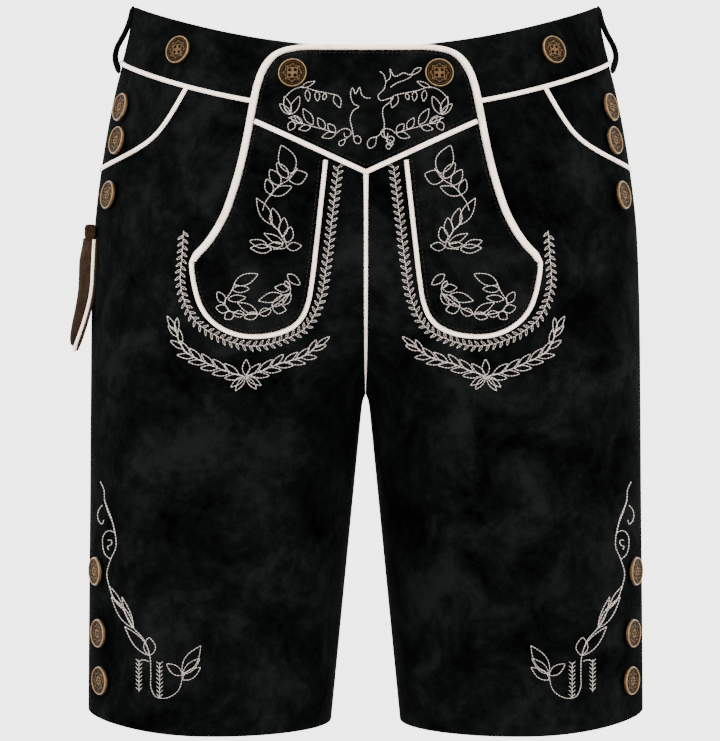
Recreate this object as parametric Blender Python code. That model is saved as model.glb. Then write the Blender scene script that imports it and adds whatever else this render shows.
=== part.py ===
"""Black suede knee breeches with a bound drop front, worn by nobody and still in the wearer's shape.

Metres, +Z up. The front faces -Y and the wearer's right leg is on the -X side. The origin is in
the middle of the waist, half way up the waistband at the side, where a body holds the breeches.

Every cloth piece is a wall over one worn surface. A place on that surface is (u, height): u runs
round half of the garment, 0 at the front middle or inseam, 1 at the outermost side and 2 at the
back middle or inseam.
"""

import math
from collections import namedtuple

import bpy
import numpy as np
from mathutils import Vector
from mathutils.geometry import delaunay_2d_cdt

# Cloth, seams and layers
WALL = 0.0020
SEAM_GAP = 0.0003
BAND_WALL = 0.0030
BAND_PROUD = 0.0006
FLAP_WALL = 0.0020
FLAP_LIFT = BAND_PROUD + SEAM_GAP
BINDING_LIFT = FLAP_LIFT
BINDING_THICK = 0.0027
LOBE_BINDING_THICK = 0.0023
PIPING_HEIGHT = 0.0015
VEE_PIPING_HEIGHT = 0.0011

# Sections of the strips: how far up their sides go straight, the share of a binding's width that
# each rounded edge takes, and the share of a piping's width left flat on top
SHOULDER = 0.55
BINDING_ROUNDING = 0.18
PIPING_CROWN = 0.35

# Heights of the cut, at the side; the front hangs lower by the dips below
WAIST_TOP = 0.0232
WAIST_SEAM = -0.0166
HEM = -0.4780
CROTCH = -0.2535
CROTCH_Y = 0.0080
FRONT_RISE = 0.0950
BACK_RISE = 0.1250
MERGE_POWER = 1.4
TOP_DIP_FRONT = 0.0405
TOP_DIP_BACK = 0.0220
SEAM_DIP_FRONT = 0.0454
SEAM_DIP_BACK = 0.0230
FRONT_DIP_POWER = 1.4
BACK_DIP_POWER = 2.0
HEM_DIP_FRONT = 0.0096
HEM_DIP_INSEAM = 0.0093
HEM_INSEAM_REACH = 0.52
INSEAM_SPREAD = 0.098
INSEAM_START = 0.0018
INSEAM_START_OVER = 0.0030

# The side seam lies a little in front of the outermost side. Half way round the garment's half is
# about this far, and panels stop short of the seams by these shares of it.
SIDE_U = 0.95
HALF_GIRTH = 0.275
SIDE_EDGE_U = 0.0007
INSEAM_EDGE_U = 0.0008
POCKET_STEP = 0.0105
POCKET_SHIFT = 0.6 * SEAM_GAP
POCKET_LEAST = 0.0012
BELOW_POCKET = 0.016
POCKET_FOLLOW = 3

# Sections of the worn shape: half the width, the depth in front of and behind the sides, and how
# far from the middle the front and the back are deepest
Section = namedtuple("Section", "height half_width front back front_ridge back_ridge")
SECTIONS = (
    Section(0.040, 0.1625, 0.101, 0.104, 0.012, 0.020),
    Section(0.000, 0.1690, 0.107, 0.109, 0.016, 0.028),
    Section(-0.040, 0.1790, 0.113, 0.118, 0.024, 0.040),
    Section(-0.085, 0.1873, 0.118, 0.130, 0.040, 0.056),
    Section(-0.130, 0.1928, 0.120, 0.138, 0.060, 0.072),
    Section(-0.180, 0.1950, 0.118, 0.138, 0.080, 0.088),
    Section(-0.254, 0.1960, 0.106, 0.118, 0.098, 0.100),
    Section(-0.330, 0.1966, 0.096, 0.098, 0.103, 0.104),
    Section(-0.400, 0.1973, 0.089, 0.088, 0.107, 0.108),
    Section(-0.500, 0.1980, 0.083, 0.081, 0.112, 0.112),
)

# Soft folds: the middle of each on the right-hand half, its lean from level, half its length,
# half its width, and how deep the trough is (a ridge is negative)
FOLD_FADE = 0.030
FOLD_FADE_TURN = 0.6
Fold = namedtuple("Fold", "side x height lean half_length half_width depth")
FOLDS = (
    Fold("front", 0.055, -0.270, 35, 0.055, 0.018, 0.0030),
    Fold("front", 0.120, -0.310, 10, 0.050, 0.020, 0.0014),
    Fold("front", 0.062, -0.455, -24, 0.050, 0.018, 0.0022),
    Fold("back", 0.060, -0.264, 33, 0.065, 0.020, 0.0045),
    Fold("back", 0.085, -0.312, 24, 0.065, 0.020, 0.0030),
    Fold("back", 0.105, -0.440, -14, 0.050, 0.020, 0.0020),
)

# The drop front, as half of its outline from the front: across from the middle, and height
Corner = namedtuple("Corner", "across height")
FLAP_SIDE = (
    Corner(0.0480, -0.0168),
    Corner(0.0565, -0.0185),
    Corner(0.0620, -0.0210),
    Corner(0.0672, -0.0255),
    Corner(0.0722, -0.0335),
    Corner(0.0755, -0.0431),
    Corner(0.0789, -0.0595),
    Corner(0.0821, -0.0773),
    Corner(0.0865, -0.0976),
    Corner(0.0911, -0.1139),
    Corner(0.0969, -0.1300),
    Corner(0.1044, -0.1435),
    Corner(0.1105, -0.1515),
    Corner(0.1156, -0.1568),
    Corner(0.1187, -0.1632),
)
FLAP_TOP = -0.0163
LOBE_EDGE = (
    Corner(0.1188, -0.1635),
    Corner(0.1183, -0.1700),
    Corner(0.1172, -0.1770),
    Corner(0.1154, -0.1851),
    Corner(0.1126, -0.1932),
    Corner(0.1074, -0.2013),
    Corner(0.0980, -0.2090),
    Corner(0.0845, -0.2140),
    Corner(0.0715, -0.2145),
    Corner(0.0580, -0.2119),
    Corner(0.0472, -0.2063),
    Corner(0.0416, -0.1999),
    Corner(0.0373, -0.1892),
    Corner(0.0348, -0.1758),
    Corner(0.0315, -0.1491),
    Corner(0.0285, -0.1222),
    Corner(0.0256, -0.0953),
)
VEE_TIP = Corner(0.0000, -0.1032)
VEE_END = Corner(0.0755, -0.0682)
FLAP_BINDING = 0.0050
FLAP_BINDING_TOP = 0.0038
FLAP_BINDING_TURN = 0.0100
LOBE_BINDING = 0.0032
LOBE_CORNER_CLEAR = 0.0070
LOBE_VEE_CLEAR = 0.0040
VEE_PIPING = 0.0033
SEAM_PIPING = 0.0031

# The front middle piping is wider where it starts, by this much over this length, and narrows to
# this share of its width at the crotch
CENTRE_PIPING = 0.0026
CENTRE_WIDER = 0.0009
CENTRE_WIDER_OVER = 0.0080
CENTRE_END = -0.2400
CENTRE_TAPER = 0.45
CENTRE_TAPER_POWER = 6
CENTRE_GROOVE_LIFT = 0.6
CENTRE_SPACING = 1.2
FLAP_SEAM_U = 0.27
FLAP_SEAM_CLEAR_U = 0.004
WAIST_PIPING_FIRST_U = 0.010
FLAP_LINE_STEP = 0.0058
LOBE_LINE_STEP = 0.0078
PATCH_SPACING = 0.0125

# The curved front pocket: share of the way round from the front middle to the side, and height
PocketPoint = namedtuple("PocketPoint", "u height")
POCKET_EDGE = (
    PocketPoint(0.536, -0.0434),
    PocketPoint(0.542, -0.0464),
    PocketPoint(0.553, -0.0519),
    PocketPoint(0.5675, -0.0586),
    PocketPoint(0.584, -0.0653),
    PocketPoint(0.605, -0.0720),
    PocketPoint(0.637, -0.0784),
    PocketPoint(0.675, -0.0829),
    PocketPoint(0.716, -0.0863),
    PocketPoint(0.766, -0.0892),
    PocketPoint(0.830, -0.0918),
    PocketPoint(0.890, -0.0932),
    PocketPoint(0.950, -0.0940),
)

# Buttons: one brass pattern, sewn on a short shank
BUTTON_RADIUS = 0.0100
BUTTON_THICK = 0.0032
BUTTON_STAND = 0.0010
SHANK_RADIUS = 0.0026
HOLE_OFFSET = 0.0019
HOLE_SIDE = 0.0015
BUTTON_SIDES = 12
ButtonPlace = namedtuple("ButtonPlace", "name across height on")
BUTTONS = (
    ButtonPlace("waist_button", 0.1270, -0.0170, "band"),
    ButtonPlace("flap_button", 0.0487, -0.0368, "flap"),
    ButtonPlace("hip_button_upper", 0.1688, -0.0530, "panel"),
    ButtonPlace("hip_button_middle", 0.1709, -0.0765, "panel"),
    ButtonPlace("hip_button_lower", 0.1767, -0.1146, "panel"),
    ButtonPlace("hem_button_upper", 0.1865, -0.3766, "panel"),
    ButtonPlace("hem_button_middle", 0.1842, -0.4197, "panel"),
    ButtonPlace("hem_button_lower", 0.1831, -0.4526, "panel"),
)
STAND_ON = {"band": BAND_PROUD, "flap": FLAP_LIFT + FLAP_WALL, "panel": 0.0}

# Belt loops, one on each side: how far out of the band its middle line stands, and the height
LoopPoint = namedtuple("LoopPoint", "out height")
LOOP_WIDTH = 0.0110
LOOP_THICK = 0.0020
LOOP_STEP = 0.0042
LOOP_ROUTE = (
    LoopPoint(0.0015, 0.0222),
    LoopPoint(0.0016, 0.0180),
    LoopPoint(0.0022, 0.0116),
    LoopPoint(0.0042, 0.0023),
    LoopPoint(0.0062, -0.0045),
    LoopPoint(0.0071, -0.0085),
    LoopPoint(0.0072, -0.0114),
    LoopPoint(0.0070, -0.0142),
    LoopPoint(0.0056, -0.0180),
    LoopPoint(0.0032, -0.0216),
    LoopPoint(0.0012, -0.0250),
)

# The knife pocket on the wearer's right thigh
SHEATH_TOP = -0.1430
SHEATH_TIP = -0.2190
SHEATH_MIDDLE_U = 0.928
SHEATH_HALF_WIDTH = 0.0165
SHEATH_TIP_WIDTH = 0.30
SHEATH_LEATHER = 0.0015
SHEATH_HOLLOW = 0.0064
SHEATH_STAND_OFF = 0.0095
SHEATH_PIPING = 0.0024
SHEATH_PIPING_CLEAR = 0.0008
SHEATH_PIPING_STEP = 0.0090

# The rolled strap end over the mouth's front corner: a bar with rounded corners, its length along
# the leg's side, and how far its ends are drawn in
ROLL_HALF_WIDTH = 0.0041
ROLL_HALF_HEIGHT = 0.0046
ROLL_SQUARENESS = 0.55
ROLL_LENGTH = 0.0105
ROLL_END_SHARE = 0.62
ROLL_BACK = -0.0125

# Grid sizes
LEG_ROWS = 9
RISE_ROWS = 7
HIP_ROWS = 3
BACK_HIP_ROWS = 7
PANEL_COLUMNS = 13
BAND_COLUMNS = 13
FLAP_FOOT_POINTS = 8
LOBE_TOP_POINTS = 7
VEE_POINTS = 17
CENTRE_POINTS = 15
ROLL_SIDES = 12
INNER_SAMPLES = 50
OUTER_SAMPLES = 81

# Colours, roughness and metal of the materials
Finish = namedtuple("Finish", "colour roughness metallic")
FINISHES = {
    "black_suede": Finish((0.012, 0.013, 0.015, 1.0), 0.92, 0.0),
    "cream_leather": Finish((0.82, 0.75, 0.69, 1.0), 0.62, 0.0),
    "brown_leather": Finish((0.075, 0.042, 0.024, 1.0), 0.66, 0.0),
    "aged_brass": Finish((0.36, 0.23, 0.11, 1.0), 0.38, 1.0),
}


def clear_scene():
    for obj in list(bpy.data.objects):
        bpy.data.objects.remove(obj)


def material(name):
    """The Principled material of that name, made once."""
    found = bpy.data.materials.get(name)
    if found:
        return found
    finish = FINISHES[name]
    made = bpy.data.materials.new(name)
    made.use_nodes = True
    shader = made.node_tree.nodes["Principled BSDF"]
    shader.inputs["Base Color"].default_value = finish.colour
    shader.inputs["Roughness"].default_value = finish.roughness
    shader.inputs["Metallic"].default_value = finish.metallic
    return made


def smooth_column(height, column):
    """A column of SECTIONS at these heights, on a smooth curve through its rows."""
    heights = np.array([row.height for row in SECTIONS])[::-1]
    values = np.array([getattr(row, column) for row in SECTIONS])[::-1]
    return smooth_curve(height, heights, values)


def smooth_curve(x, xs, ys):
    """Cubic curve through the points (xs, ys), xs rising, with slopes taken from its neighbours."""
    slopes = np.gradient(ys, xs)
    x = np.clip(x, xs[0], xs[-1])
    left = np.clip(np.searchsorted(xs, x) - 1, 0, len(xs) - 2)
    step = xs[left + 1] - xs[left]
    t = (x - xs[left]) / step
    start = (2 * t**3 - 3 * t**2 + 1) * ys[left] + (t**3 - 2 * t**2 + t) * step * slopes[left]
    end = (3 * t**2 - 2 * t**3) * ys[left + 1] + (t**3 - t**2) * step * slopes[left + 1]
    return start + end


def inseam_gap(height):
    """Half of the space between the legs at this height."""
    below = np.maximum(CROTCH - height, 0.0)
    return INSEAM_START * (1 - np.exp(-below / INSEAM_START_OVER)) + INSEAM_SPREAD * below


def section_point(turn, height, face):
    """Points x, y of the level sections of the front or the back.

    Turn is 0 at the inner end, 1 at the ridge and 2 at the outermost side. Up to the ridge the
    section is part of an ellipse whose inner end lies past the middle above the crotch, so that
    the two legs grow into one seat. From the ridge on it is a quarter of an ellipse.
    """
    depth = smooth_column(height, face)
    ridge = smooth_column(height, face + "_ridge")
    width = smooth_column(height, "half_width")
    out = -1.0 if face == "front" else 1.0
    inner_half = (ridge - inseam_gap(height)) / merge_share(height, face)
    inner = np.minimum(turn, 1.0) * math.pi / 2
    outer = np.maximum(turn - 1.0, 0.0) * math.pi / 2
    x = ridge - inner_half * np.cos(inner) + (width - ridge) * np.sin(outer)
    y = CROTCH_Y + (out * depth - CROTCH_Y) * np.sin(inner) - out * depth * (1 - np.cos(outer))
    return x, y + out * -fold_depth(face, x, height, turn)


def merge_share(height, face):
    """1 up to the crotch, falling to 0 where the two legs have become one front or one seat."""
    rise = FRONT_RISE if face == "front" else BACK_RISE
    return np.maximum(1 - np.clip((height - CROTCH) / rise, 0, 1) ** MERGE_POWER, 0.02)


def half_row(height, face):
    """Turns along the level section at each height, and how far round each one is, 0 to 1."""
    height = np.asarray(height, float)[:, None]
    start = np.arccos(merge_share(height, face)) / (math.pi / 2)
    inner = start + (1 - start) * np.linspace(0, 1, INNER_SAMPLES, endpoint=False)[None, :]
    outer = np.broadcast_to(np.linspace(1, 2, OUTER_SAMPLES), (len(height), OUTER_SAMPLES))
    turn = np.concatenate([inner, outer], axis=1)
    x, y = section_point(turn, height, face)
    step = np.hypot(np.diff(x, axis=1), np.diff(y, axis=1))
    along = np.concatenate([np.zeros((len(x), 1)), np.cumsum(step, axis=1)], axis=1)
    return turn, x, along / along[:, -1:]


def fold_depth(face, x, height, turn):
    """How far the folds on this face push the cloth in: none at its edges."""
    total = 0.0
    for fold in FOLDS:
        if fold.side != face:
            continue
        lean = math.radians(fold.lean)
        dx, dz = x - fold.x, height - fold.height
        along = dx * math.cos(lean) + dz * math.sin(lean)
        across = dz * math.cos(lean) - dx * math.sin(lean)
        reach = (along / fold.half_length) ** 2 + (across / fold.half_width) ** 2
        total = total + fold.depth * np.exp(-reach)
    inner = np.clip((x - inseam_gap(height)) / FOLD_FADE, 0, 1)
    edge = inner * np.clip((2 - turn) / FOLD_FADE_TURN, 0, 1)
    return total * edge * edge * (3 - 2 * edge)


def turns_at(u, height):
    """The turn at each (u, height), u counted 0 to 1 on the front and 1 to 2 on the back."""
    turn = np.empty(len(u))
    for face, mine in (("front", u <= 1.0), ("back", u > 1.0)):
        if not mine.any():
            continue
        rows, _, run = half_row(height[mine], face)
        share = u[mine] if face == "front" else 2.0 - u[mine]
        turn[mine] = [np.interp(s, r, row) for s, r, row in zip(share, run, rows)]
    return turn


def matched(u, height):
    """u and height as two flat arrays of the same length."""
    u, height = np.broadcast_arrays(np.asarray(u, float).ravel(), np.asarray(height, float).ravel())
    return u.copy(), height.copy()


def place(turn, height, on_front):
    """The worn surface on the +X side, as rows of x, y, z."""
    points = np.empty((len(turn), 3))
    points[:, 2] = height
    for face, mine in (("front", on_front), ("back", ~on_front)):
        x, y = section_point(turn[mine], height[mine], face)
        points[mine, 0], points[mine, 1] = x, y
    return points


def worn(u, height):
    """The worn surface on the +X side at each (u, height)."""
    u, height = matched(u, height)
    return place(turns_at(u, height), height, u <= 1.0)


def outward(u, height):
    """Unit normals of the worn surface, pointing out of the garment."""
    u, height = matched(u, height)
    on_front = u <= 1.0
    turn = turns_at(u, height)
    along = place(turn + 0.01, height, on_front) - place(turn - 0.01, height, on_front)
    along[~on_front] *= -1
    up = place(turn, height + 0.0006, on_front) - place(turn, height - 0.0006, on_front)
    normal = np.cross(along, up)
    return normal / np.linalg.norm(normal, axis=1, keepdims=True)


def lifted(u, height, lift, half):
    """Points on the worn surface moved out by lift; half is +1 or -1, the side of the middle."""
    points = worn(u, height) + outward(u, height) * np.asarray(lift, float).reshape(-1, 1)
    points[:, 0] = np.maximum(points[:, 0], SEAM_GAP / 2)
    points[:, 0] *= half
    return points


def u_at(across, height):
    """The u of the front surface this far from the middle."""
    across = np.abs(np.asarray(across, float).ravel())
    height = np.asarray(height, float).ravel()
    _, x, run = half_row(height, "front")
    return np.array([np.interp(a, row, r) for a, row, r in zip(across, x, run)])


def from_front(across, height, lift):
    """Points over the front, seen from the front: across is signed, and lift is out of the cloth."""
    across = np.asarray(across, float).ravel()
    height = np.asarray(height, float).ravel()
    u = u_at(across, height)
    points = worn(u, height)
    normal = outward(u, height)
    near = np.clip(np.abs(across) / 0.01, 0, 1)
    normal[:, 0] *= near
    normal /= np.linalg.norm(normal, axis=1, keepdims=True)
    points = points + normal * np.asarray(lift, float).reshape(-1, 1)
    side = np.where(across < 0, -1.0, 1.0)
    points[:, 0] *= side
    normal[:, 0] *= side
    return points, normal


def dip(u, front, back):
    """How far an edge hangs below its side height: most in the middle, by a power of cosine."""
    turn = np.maximum(np.cos(np.minimum(u, 2 - u) * math.pi / 2), 0.0)
    return np.where(u <= 1, front * turn**FRONT_DIP_POWER, back * turn**BACK_DIP_POWER)


def top_height(u):
    return WAIST_TOP - dip(u, TOP_DIP_FRONT, TOP_DIP_BACK)


def seam_height(u):
    return WAIST_SEAM - dip(u, SEAM_DIP_FRONT, SEAM_DIP_BACK)


def hem_height(u):
    """The hem: lower in front of the leg, and lower again towards the inseam."""
    leg = np.sin(np.clip(u, 0, 1) * math.pi) ** 2
    inner = np.clip(np.minimum(u, 2 - u) / HEM_INSEAM_REACH, 0, 1)
    return HEM - HEM_DIP_FRONT * leg - HEM_DIP_INSEAM * np.cos(inner * math.pi / 2) ** 2


def closed_mesh(name, points, faces, finish, smooth=True):
    """An object from points and faces, with its material."""
    mesh = bpy.data.meshes.new(name)
    mesh.from_pydata([tuple(map(float, p)) for p in points], [], faces)
    mesh.validate()
    mesh.materials.append(material(finish))
    if smooth:
        mesh.shade_smooth()
        mesh.set_sharp_from_angle(angle=math.radians(40))
    obj = bpy.data.objects.new(name, mesh)
    bpy.context.scene.collection.objects.link(obj)
    return obj


def grid_wall(name, outer, inner, finish):
    """A closed wall between two grids of points, (rows, columns, 3).

    Both faces split their squares along the same diagonal, so the wall keeps its thickness.
    """
    rows, columns = outer.shape[:2]
    count = rows * columns
    points = np.concatenate([outer.reshape(-1, 3), inner.reshape(-1, 3)])
    index = np.arange(count).reshape(rows, columns)
    a, b = index[:-1, :-1], index[:-1, 1:]
    c, d = index[1:, 1:], index[1:, :-1]
    halves = [np.stack(corners, axis=-1).reshape(-1, 3) for corners in ((a, b, c), (a, c, d))]
    skin = np.concatenate(halves)
    faces = skin.tolist() + (skin[:, ::-1] + count).tolist()
    rim = np.concatenate([index[0, ::-1], index[1:, 0], index[-1, 1:], index[-2:0:-1, -1]])
    for here, there in zip(rim.tolist(), np.roll(rim, -1).tolist()):
        faces.append([here, there, there + count, here + count])
    if signed_volume(points, faces) < 0:
        faces = [face[::-1] for face in faces]
    return closed_mesh(name, points, faces, finish)


def wall_piece(name, u, height, low, high, half, finish="black_suede"):
    """A wall over the worn surface, given grids of u and height and its lifts above the surface."""
    shape = u.shape
    outer = lifted(u, height, np.broadcast_to(high, shape).ravel(), half).reshape(*shape, 3)
    inner = lifted(u, height, np.broadcast_to(low, shape).ravel(), half).reshape(*shape, 3)
    return grid_wall(name, outer, inner, finish)


def side_name(half):
    return "left" if half > 0 else "right"


def edge_u(height):
    """The u of a panel's inner edge: the middle above the crotch, just off the inseam below it."""
    return np.where(height > CROTCH + 1e-6, 0.0, INSEAM_EDGE_U)


def panel_heights(u, shares):
    """Heights of a panel's rows at each u; shares run from 0 at the waist seam to 1 at the hem."""
    plain = WAIST_SEAM + (HEM - WAIST_SEAM) * shares
    top = np.clip((plain - CROTCH) / (WAIST_SEAM - CROTCH), 0, 1) ** 1.5
    bottom = np.clip((CROTCH - plain) / (CROTCH - HEM), 0, 1) ** 2
    height = plain + (seam_height(u) - WAIST_SEAM) * top + (hem_height(u) - HEM) * bottom
    return height - SEAM_GAP * top


def lower_shares(first, rows):
    """Shares for a panel's rows from a first share to the hem, finest where the crotch turns."""
    length = WAIST_SEAM - HEM
    rise = (WAIST_SEAM - (CROTCH + FRONT_RISE)) / length
    crotch = (WAIST_SEAM - CROTCH) / length
    hips = np.linspace(first, rise, rows, endpoint=False)
    turn = np.linspace(0, math.pi / 2, RISE_ROWS, endpoint=False)
    rises = rise + (crotch - rise) * np.sin(turn)
    return np.concatenate([hips, rises, np.linspace(crotch, 1, LEG_ROWS)])


def pocket_line(shift):
    """The curved pocket edge as rows of (u, height), moved by shift along its flat normal."""
    line = smooth_line([(p.u * HALF_GIRTH, p.height) for p in POCKET_EDGE], POCKET_STEP)
    line = moved_in(line, shift)
    line[:, 0] /= HALF_GIRTH
    line[-1, 0] = SIDE_U - SIDE_EDGE_U
    return line


def make_front_panel(half):
    """A front leg panel: waist seam to hem, front middle or inseam to side seam, less the pocket.

    The rows beside the pocket end on the points of the pocket's edge, so that the facing's edge
    and this one run side by side.
    """
    edge = pocket_line(POCKET_SHIFT)
    corner = np.array([[edge[0, 0], seam_height(edge[0, 0]) - SEAM_GAP]])
    edge = np.concatenate([corner, edge])
    across = np.linspace(0, 1, PANEL_COLUMNS)[None, :]
    floor = edge[-1, 1]
    down = ((edge[0, 1] - edge[:, 1]) / (edge[0, 1] - floor))[:, None]
    u_pocket = across * edge[:, :1]
    top = seam_height(u_pocket) - SEAM_GAP
    height_pocket = top + (floor - top) * down
    height_pocket += (edge[:, 1:] - height_pocket[:, -1:]) * across**POCKET_FOLLOW
    first = (WAIST_SEAM - floor + BELOW_POCKET) / (WAIST_SEAM - HEM)
    shares = lower_shares(first, HIP_ROWS)[:, None]
    u_lower = across * (SIDE_U - SIDE_EDGE_U) + 0 * shares
    height_lower = panel_heights(u_lower, shares)
    u = np.concatenate([u_pocket, u_lower])
    height = np.concatenate([height_pocket, height_lower])
    inner = edge_u(height[:, :1])
    u = inner + (u[:, -1:] - inner) * across
    return wall_piece(f"front_panel_{side_name(half)}", u, height, -WALL, 0.0, half)


def make_back_panel(half):
    """A back leg panel, from the side seam to the back middle or inseam."""
    shares = lower_shares(0.0, BACK_HIP_ROWS)[:, None]
    across = np.linspace(0, 1, PANEL_COLUMNS + 1)[None, :]
    start = SIDE_U + SIDE_EDGE_U
    height = panel_heights(start + (2 - start) * across, shares)
    end = 2.0 - edge_u(height[:, -1:])
    u = start + (end - start) * across
    return wall_piece(f"back_panel_{side_name(half)}", u, height, -WALL, 0.0, half)


def make_pocket_facing(half):
    """The piece that shows above the curved pocket edge, out to the side seam."""
    edge = pocket_line(-POCKET_SHIFT)
    top = seam_height(edge[:, 0]) - SEAM_GAP
    bottom = np.minimum(edge[:, 1], top - POCKET_LEAST)
    down = np.linspace(0, 1, 5)[:, None]
    height = top + (bottom - top) * down
    u = np.broadcast_to(edge[:, 0], height.shape)
    return wall_piece(f"pocket_facing_{side_name(half)}", u, height, -WALL, 0.0, half)


def band_grid(start, end, columns):
    """Grids of u and height over the waistband between two shares of the way round."""
    u = np.broadcast_to(np.linspace(start, end, columns)[None, :], (4, columns))
    rise = np.linspace(0, 1, 4)[:, None]
    height = top_height(u) + (seam_height(u) + SEAM_GAP - top_height(u)) * rise
    return u, height


def make_front_band(half):
    u, height = band_grid(0.0, SIDE_U - SIDE_EDGE_U, BAND_COLUMNS)
    low = BAND_PROUD - BAND_WALL
    name = f"waistband_front_{side_name(half)}"
    return wall_piece(name, u, height, low, BAND_PROUD, half)


def make_back_band():
    """The back of the waistband, one piece from side seam to side seam."""
    u, height = band_grid(SIDE_U + SIDE_EDGE_U, 2.0, BAND_COLUMNS)
    low = np.full(u.size, BAND_PROUD - BAND_WALL)
    high = np.full(u.size, BAND_PROUD)
    outer = lifted(u, height, high, 1).reshape(*u.shape, 3)
    inner = lifted(u, height, low, 1).reshape(*u.shape, 3)
    whole = []
    for grid in (outer, inner):
        grid[:, -1, 0] = 0.0
        mirrored = grid[:, -2::-1] * np.array([-1.0, 1.0, 1.0])
        whole.append(np.concatenate([grid, mirrored], axis=1))
    return grid_wall("waistband_back", *whole, "black_suede")


def smooth_line(points, spacing):
    """A curve through corner points, read at about this spacing, ends kept."""
    corners = np.array(points, float)
    span = np.linalg.norm(np.diff(corners, axis=0), axis=1)
    at = np.concatenate([[0], np.cumsum(span)])
    count = max(2, int(round(at[-1] / spacing)) + 1)
    read = np.linspace(0, at[-1], count)
    return np.stack([smooth_curve(read, at, corners[:, k]) for k in range(corners.shape[1])], axis=1)


def moved_in(line, distance):
    """A flat line moved sideways: to the right of its direction for a positive distance."""
    tangent = np.gradient(line, axis=0)
    tangent /= np.linalg.norm(tangent, axis=1, keepdims=True)
    distance = np.asarray(distance, float).reshape(-1, 1)
    return line + distance * np.stack([tangent[:, 1], -tangent[:, 0]], axis=1)


def inside(outline, points):
    """Which points lie inside a closed flat outline, by counting crossings."""
    x, z = points[:, 0], points[:, 1]
    hit = np.zeros(len(points), bool)
    for (x0, z0), (x1, z1) in zip(outline, np.roll(outline, -1, axis=0)):
        if z0 == z1:
            continue
        crosses = (z0 > z) != (z1 > z)
        hit ^= crosses & (x < x0 + (z - z0) * (x1 - x0) / (z1 - z0))
    return hit


def distance_to(outline, points):
    """Least distance from each point to the closed outline."""
    best = np.full(len(points), np.inf)
    for start, end in zip(outline, np.roll(outline, -1, axis=0)):
        run = end - start
        t = np.clip(((points - start) @ run) / max(run @ run, 1e-12), 0, 1)
        best = np.minimum(best, np.linalg.norm(points - start - t[:, None] * run, axis=1))
    return best


def patch_wall(name, outline, low, high, finish="black_suede"):
    """A wall over the front inside a flat outline (across, height), filled with small triangles."""
    outline = np.asarray(outline, float)
    lows, highs = outline.min(0), outline.max(0)
    xs = np.arange(lows[0], highs[0], PATCH_SPACING)
    zs = np.arange(lows[1], highs[1], PATCH_SPACING)
    lattice = np.stack(np.meshgrid(xs, zs), axis=-1).reshape(-1, 2)
    keep = inside(outline, lattice)
    keep[keep] = distance_to(outline, lattice[keep]) > PATCH_SPACING * 0.45
    flat = np.concatenate([outline, lattice[keep]])
    count = len(outline)
    edges = [(i, (i + 1) % count) for i in range(count)]
    verts, _, faces, *_ = delaunay_2d_cdt([Vector(p) for p in flat], edges, [], 1, 1e-6)
    flat = np.array([tuple(v) for v in verts])
    triangles = np.array([list(f) for f in faces])
    a, b, c = (flat[triangles[:, k]] for k in range(3))
    area = (b[:, 0] - a[:, 0]) * (c[:, 1] - a[:, 1]) - (b[:, 1] - a[:, 1]) * (c[:, 0] - a[:, 0])
    triangles[area < 0] = triangles[area < 0][:, ::-1]
    outer, _ = from_front(flat[:, 0], flat[:, 1], np.full(len(flat), high))
    inner, _ = from_front(flat[:, 0], flat[:, 1], np.full(len(flat), low))
    size = len(flat)
    made = triangles.tolist() + (triangles[:, ::-1] + size).tolist()
    sides = np.concatenate([triangles[:, [0, 1]], triangles[:, [1, 2]], triangles[:, [2, 0]]])
    held = {(int(i), int(j)) for i, j in sides}
    for i, j in held:
        if (j, i) not in held:
            made.append([j, i, i + size, j + size])
    return closed_mesh(name, np.concatenate([outer, inner]), made, finish)


def sweep_strip(name, centre, normal, width, low, high):
    """A cream strip along a line on the cloth: flat below, with rounded shoulders above.

    The section is six points, from low to high above the line.
    """
    centre, normal = np.asarray(centre, float), np.asarray(normal, float)
    tangent = np.gradient(centre, axis=0)
    tangent /= np.linalg.norm(tangent, axis=1, keepdims=True)
    across = np.cross(tangent, normal)
    across /= np.linalg.norm(across, axis=1, keepdims=True)
    width, low, high = (np.broadcast_to(v, len(centre))[:, None] for v in (width, low, high))
    shoulder = low + (high - low) * SHOULDER
    section = (
        (-0.5, low),
        (-0.5, shoulder),
        (-PIPING_CROWN / 2, high),
        (PIPING_CROWN / 2, high),
        (0.5, shoulder),
        (0.5, low),
    )
    rings = np.stack([centre + across * (width * s) + normal * h for s, h in section], axis=1)
    return tube(name, rings, "cream_leather")


def tube(name, rings, finish, smooth=True):
    """A closed solid through rings of points, (rings, points, 3), with flat ends."""
    count, sides = rings.shape[:2]
    index = np.arange(count * sides).reshape(count, sides)
    after = np.roll(index, -1, axis=1)
    quads = np.stack([index[:-1], after[:-1], after[1:], index[1:]], axis=-1).reshape(-1, 4)
    faces = quads.tolist() + [index[0, ::-1].tolist(), index[-1].tolist()]
    points = rings.reshape(-1, 3)
    if signed_volume(points, faces) < 0:
        faces = [face[::-1] for face in faces]
    return closed_mesh(name, points, faces, finish, smooth)


def signed_volume(points, faces):
    total = 0.0
    for face in faces:
        a = points[face[0]]
        for i in range(1, len(face) - 1):
            total += float(np.dot(a, np.cross(points[face[i]], points[face[i + 1]])))
    return total


def half_flap_line():
    """Outer edge of the drop front on one side, from its top middle to its lower corner."""
    top = [Corner(0.0, FLAP_TOP), Corner(0.024, FLAP_TOP)]
    return smooth_line(top + list(FLAP_SIDE), FLAP_LINE_STEP)


def vee_height(across):
    """Height of the seam that runs in a V across the drop front."""
    slope = (VEE_END.height - VEE_TIP.height) / VEE_END.across
    return VEE_TIP.height + slope * np.abs(across)


def flap_binding_width(line):
    """Width of the drop front's binding at each point of its outer edge: least along the top."""
    down = np.clip((FLAP_TOP - line[:, 1]) / FLAP_BINDING_TURN, 0, 1)
    return FLAP_BINDING_TOP + (FLAP_BINDING - FLAP_BINDING_TOP) * down


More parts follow.
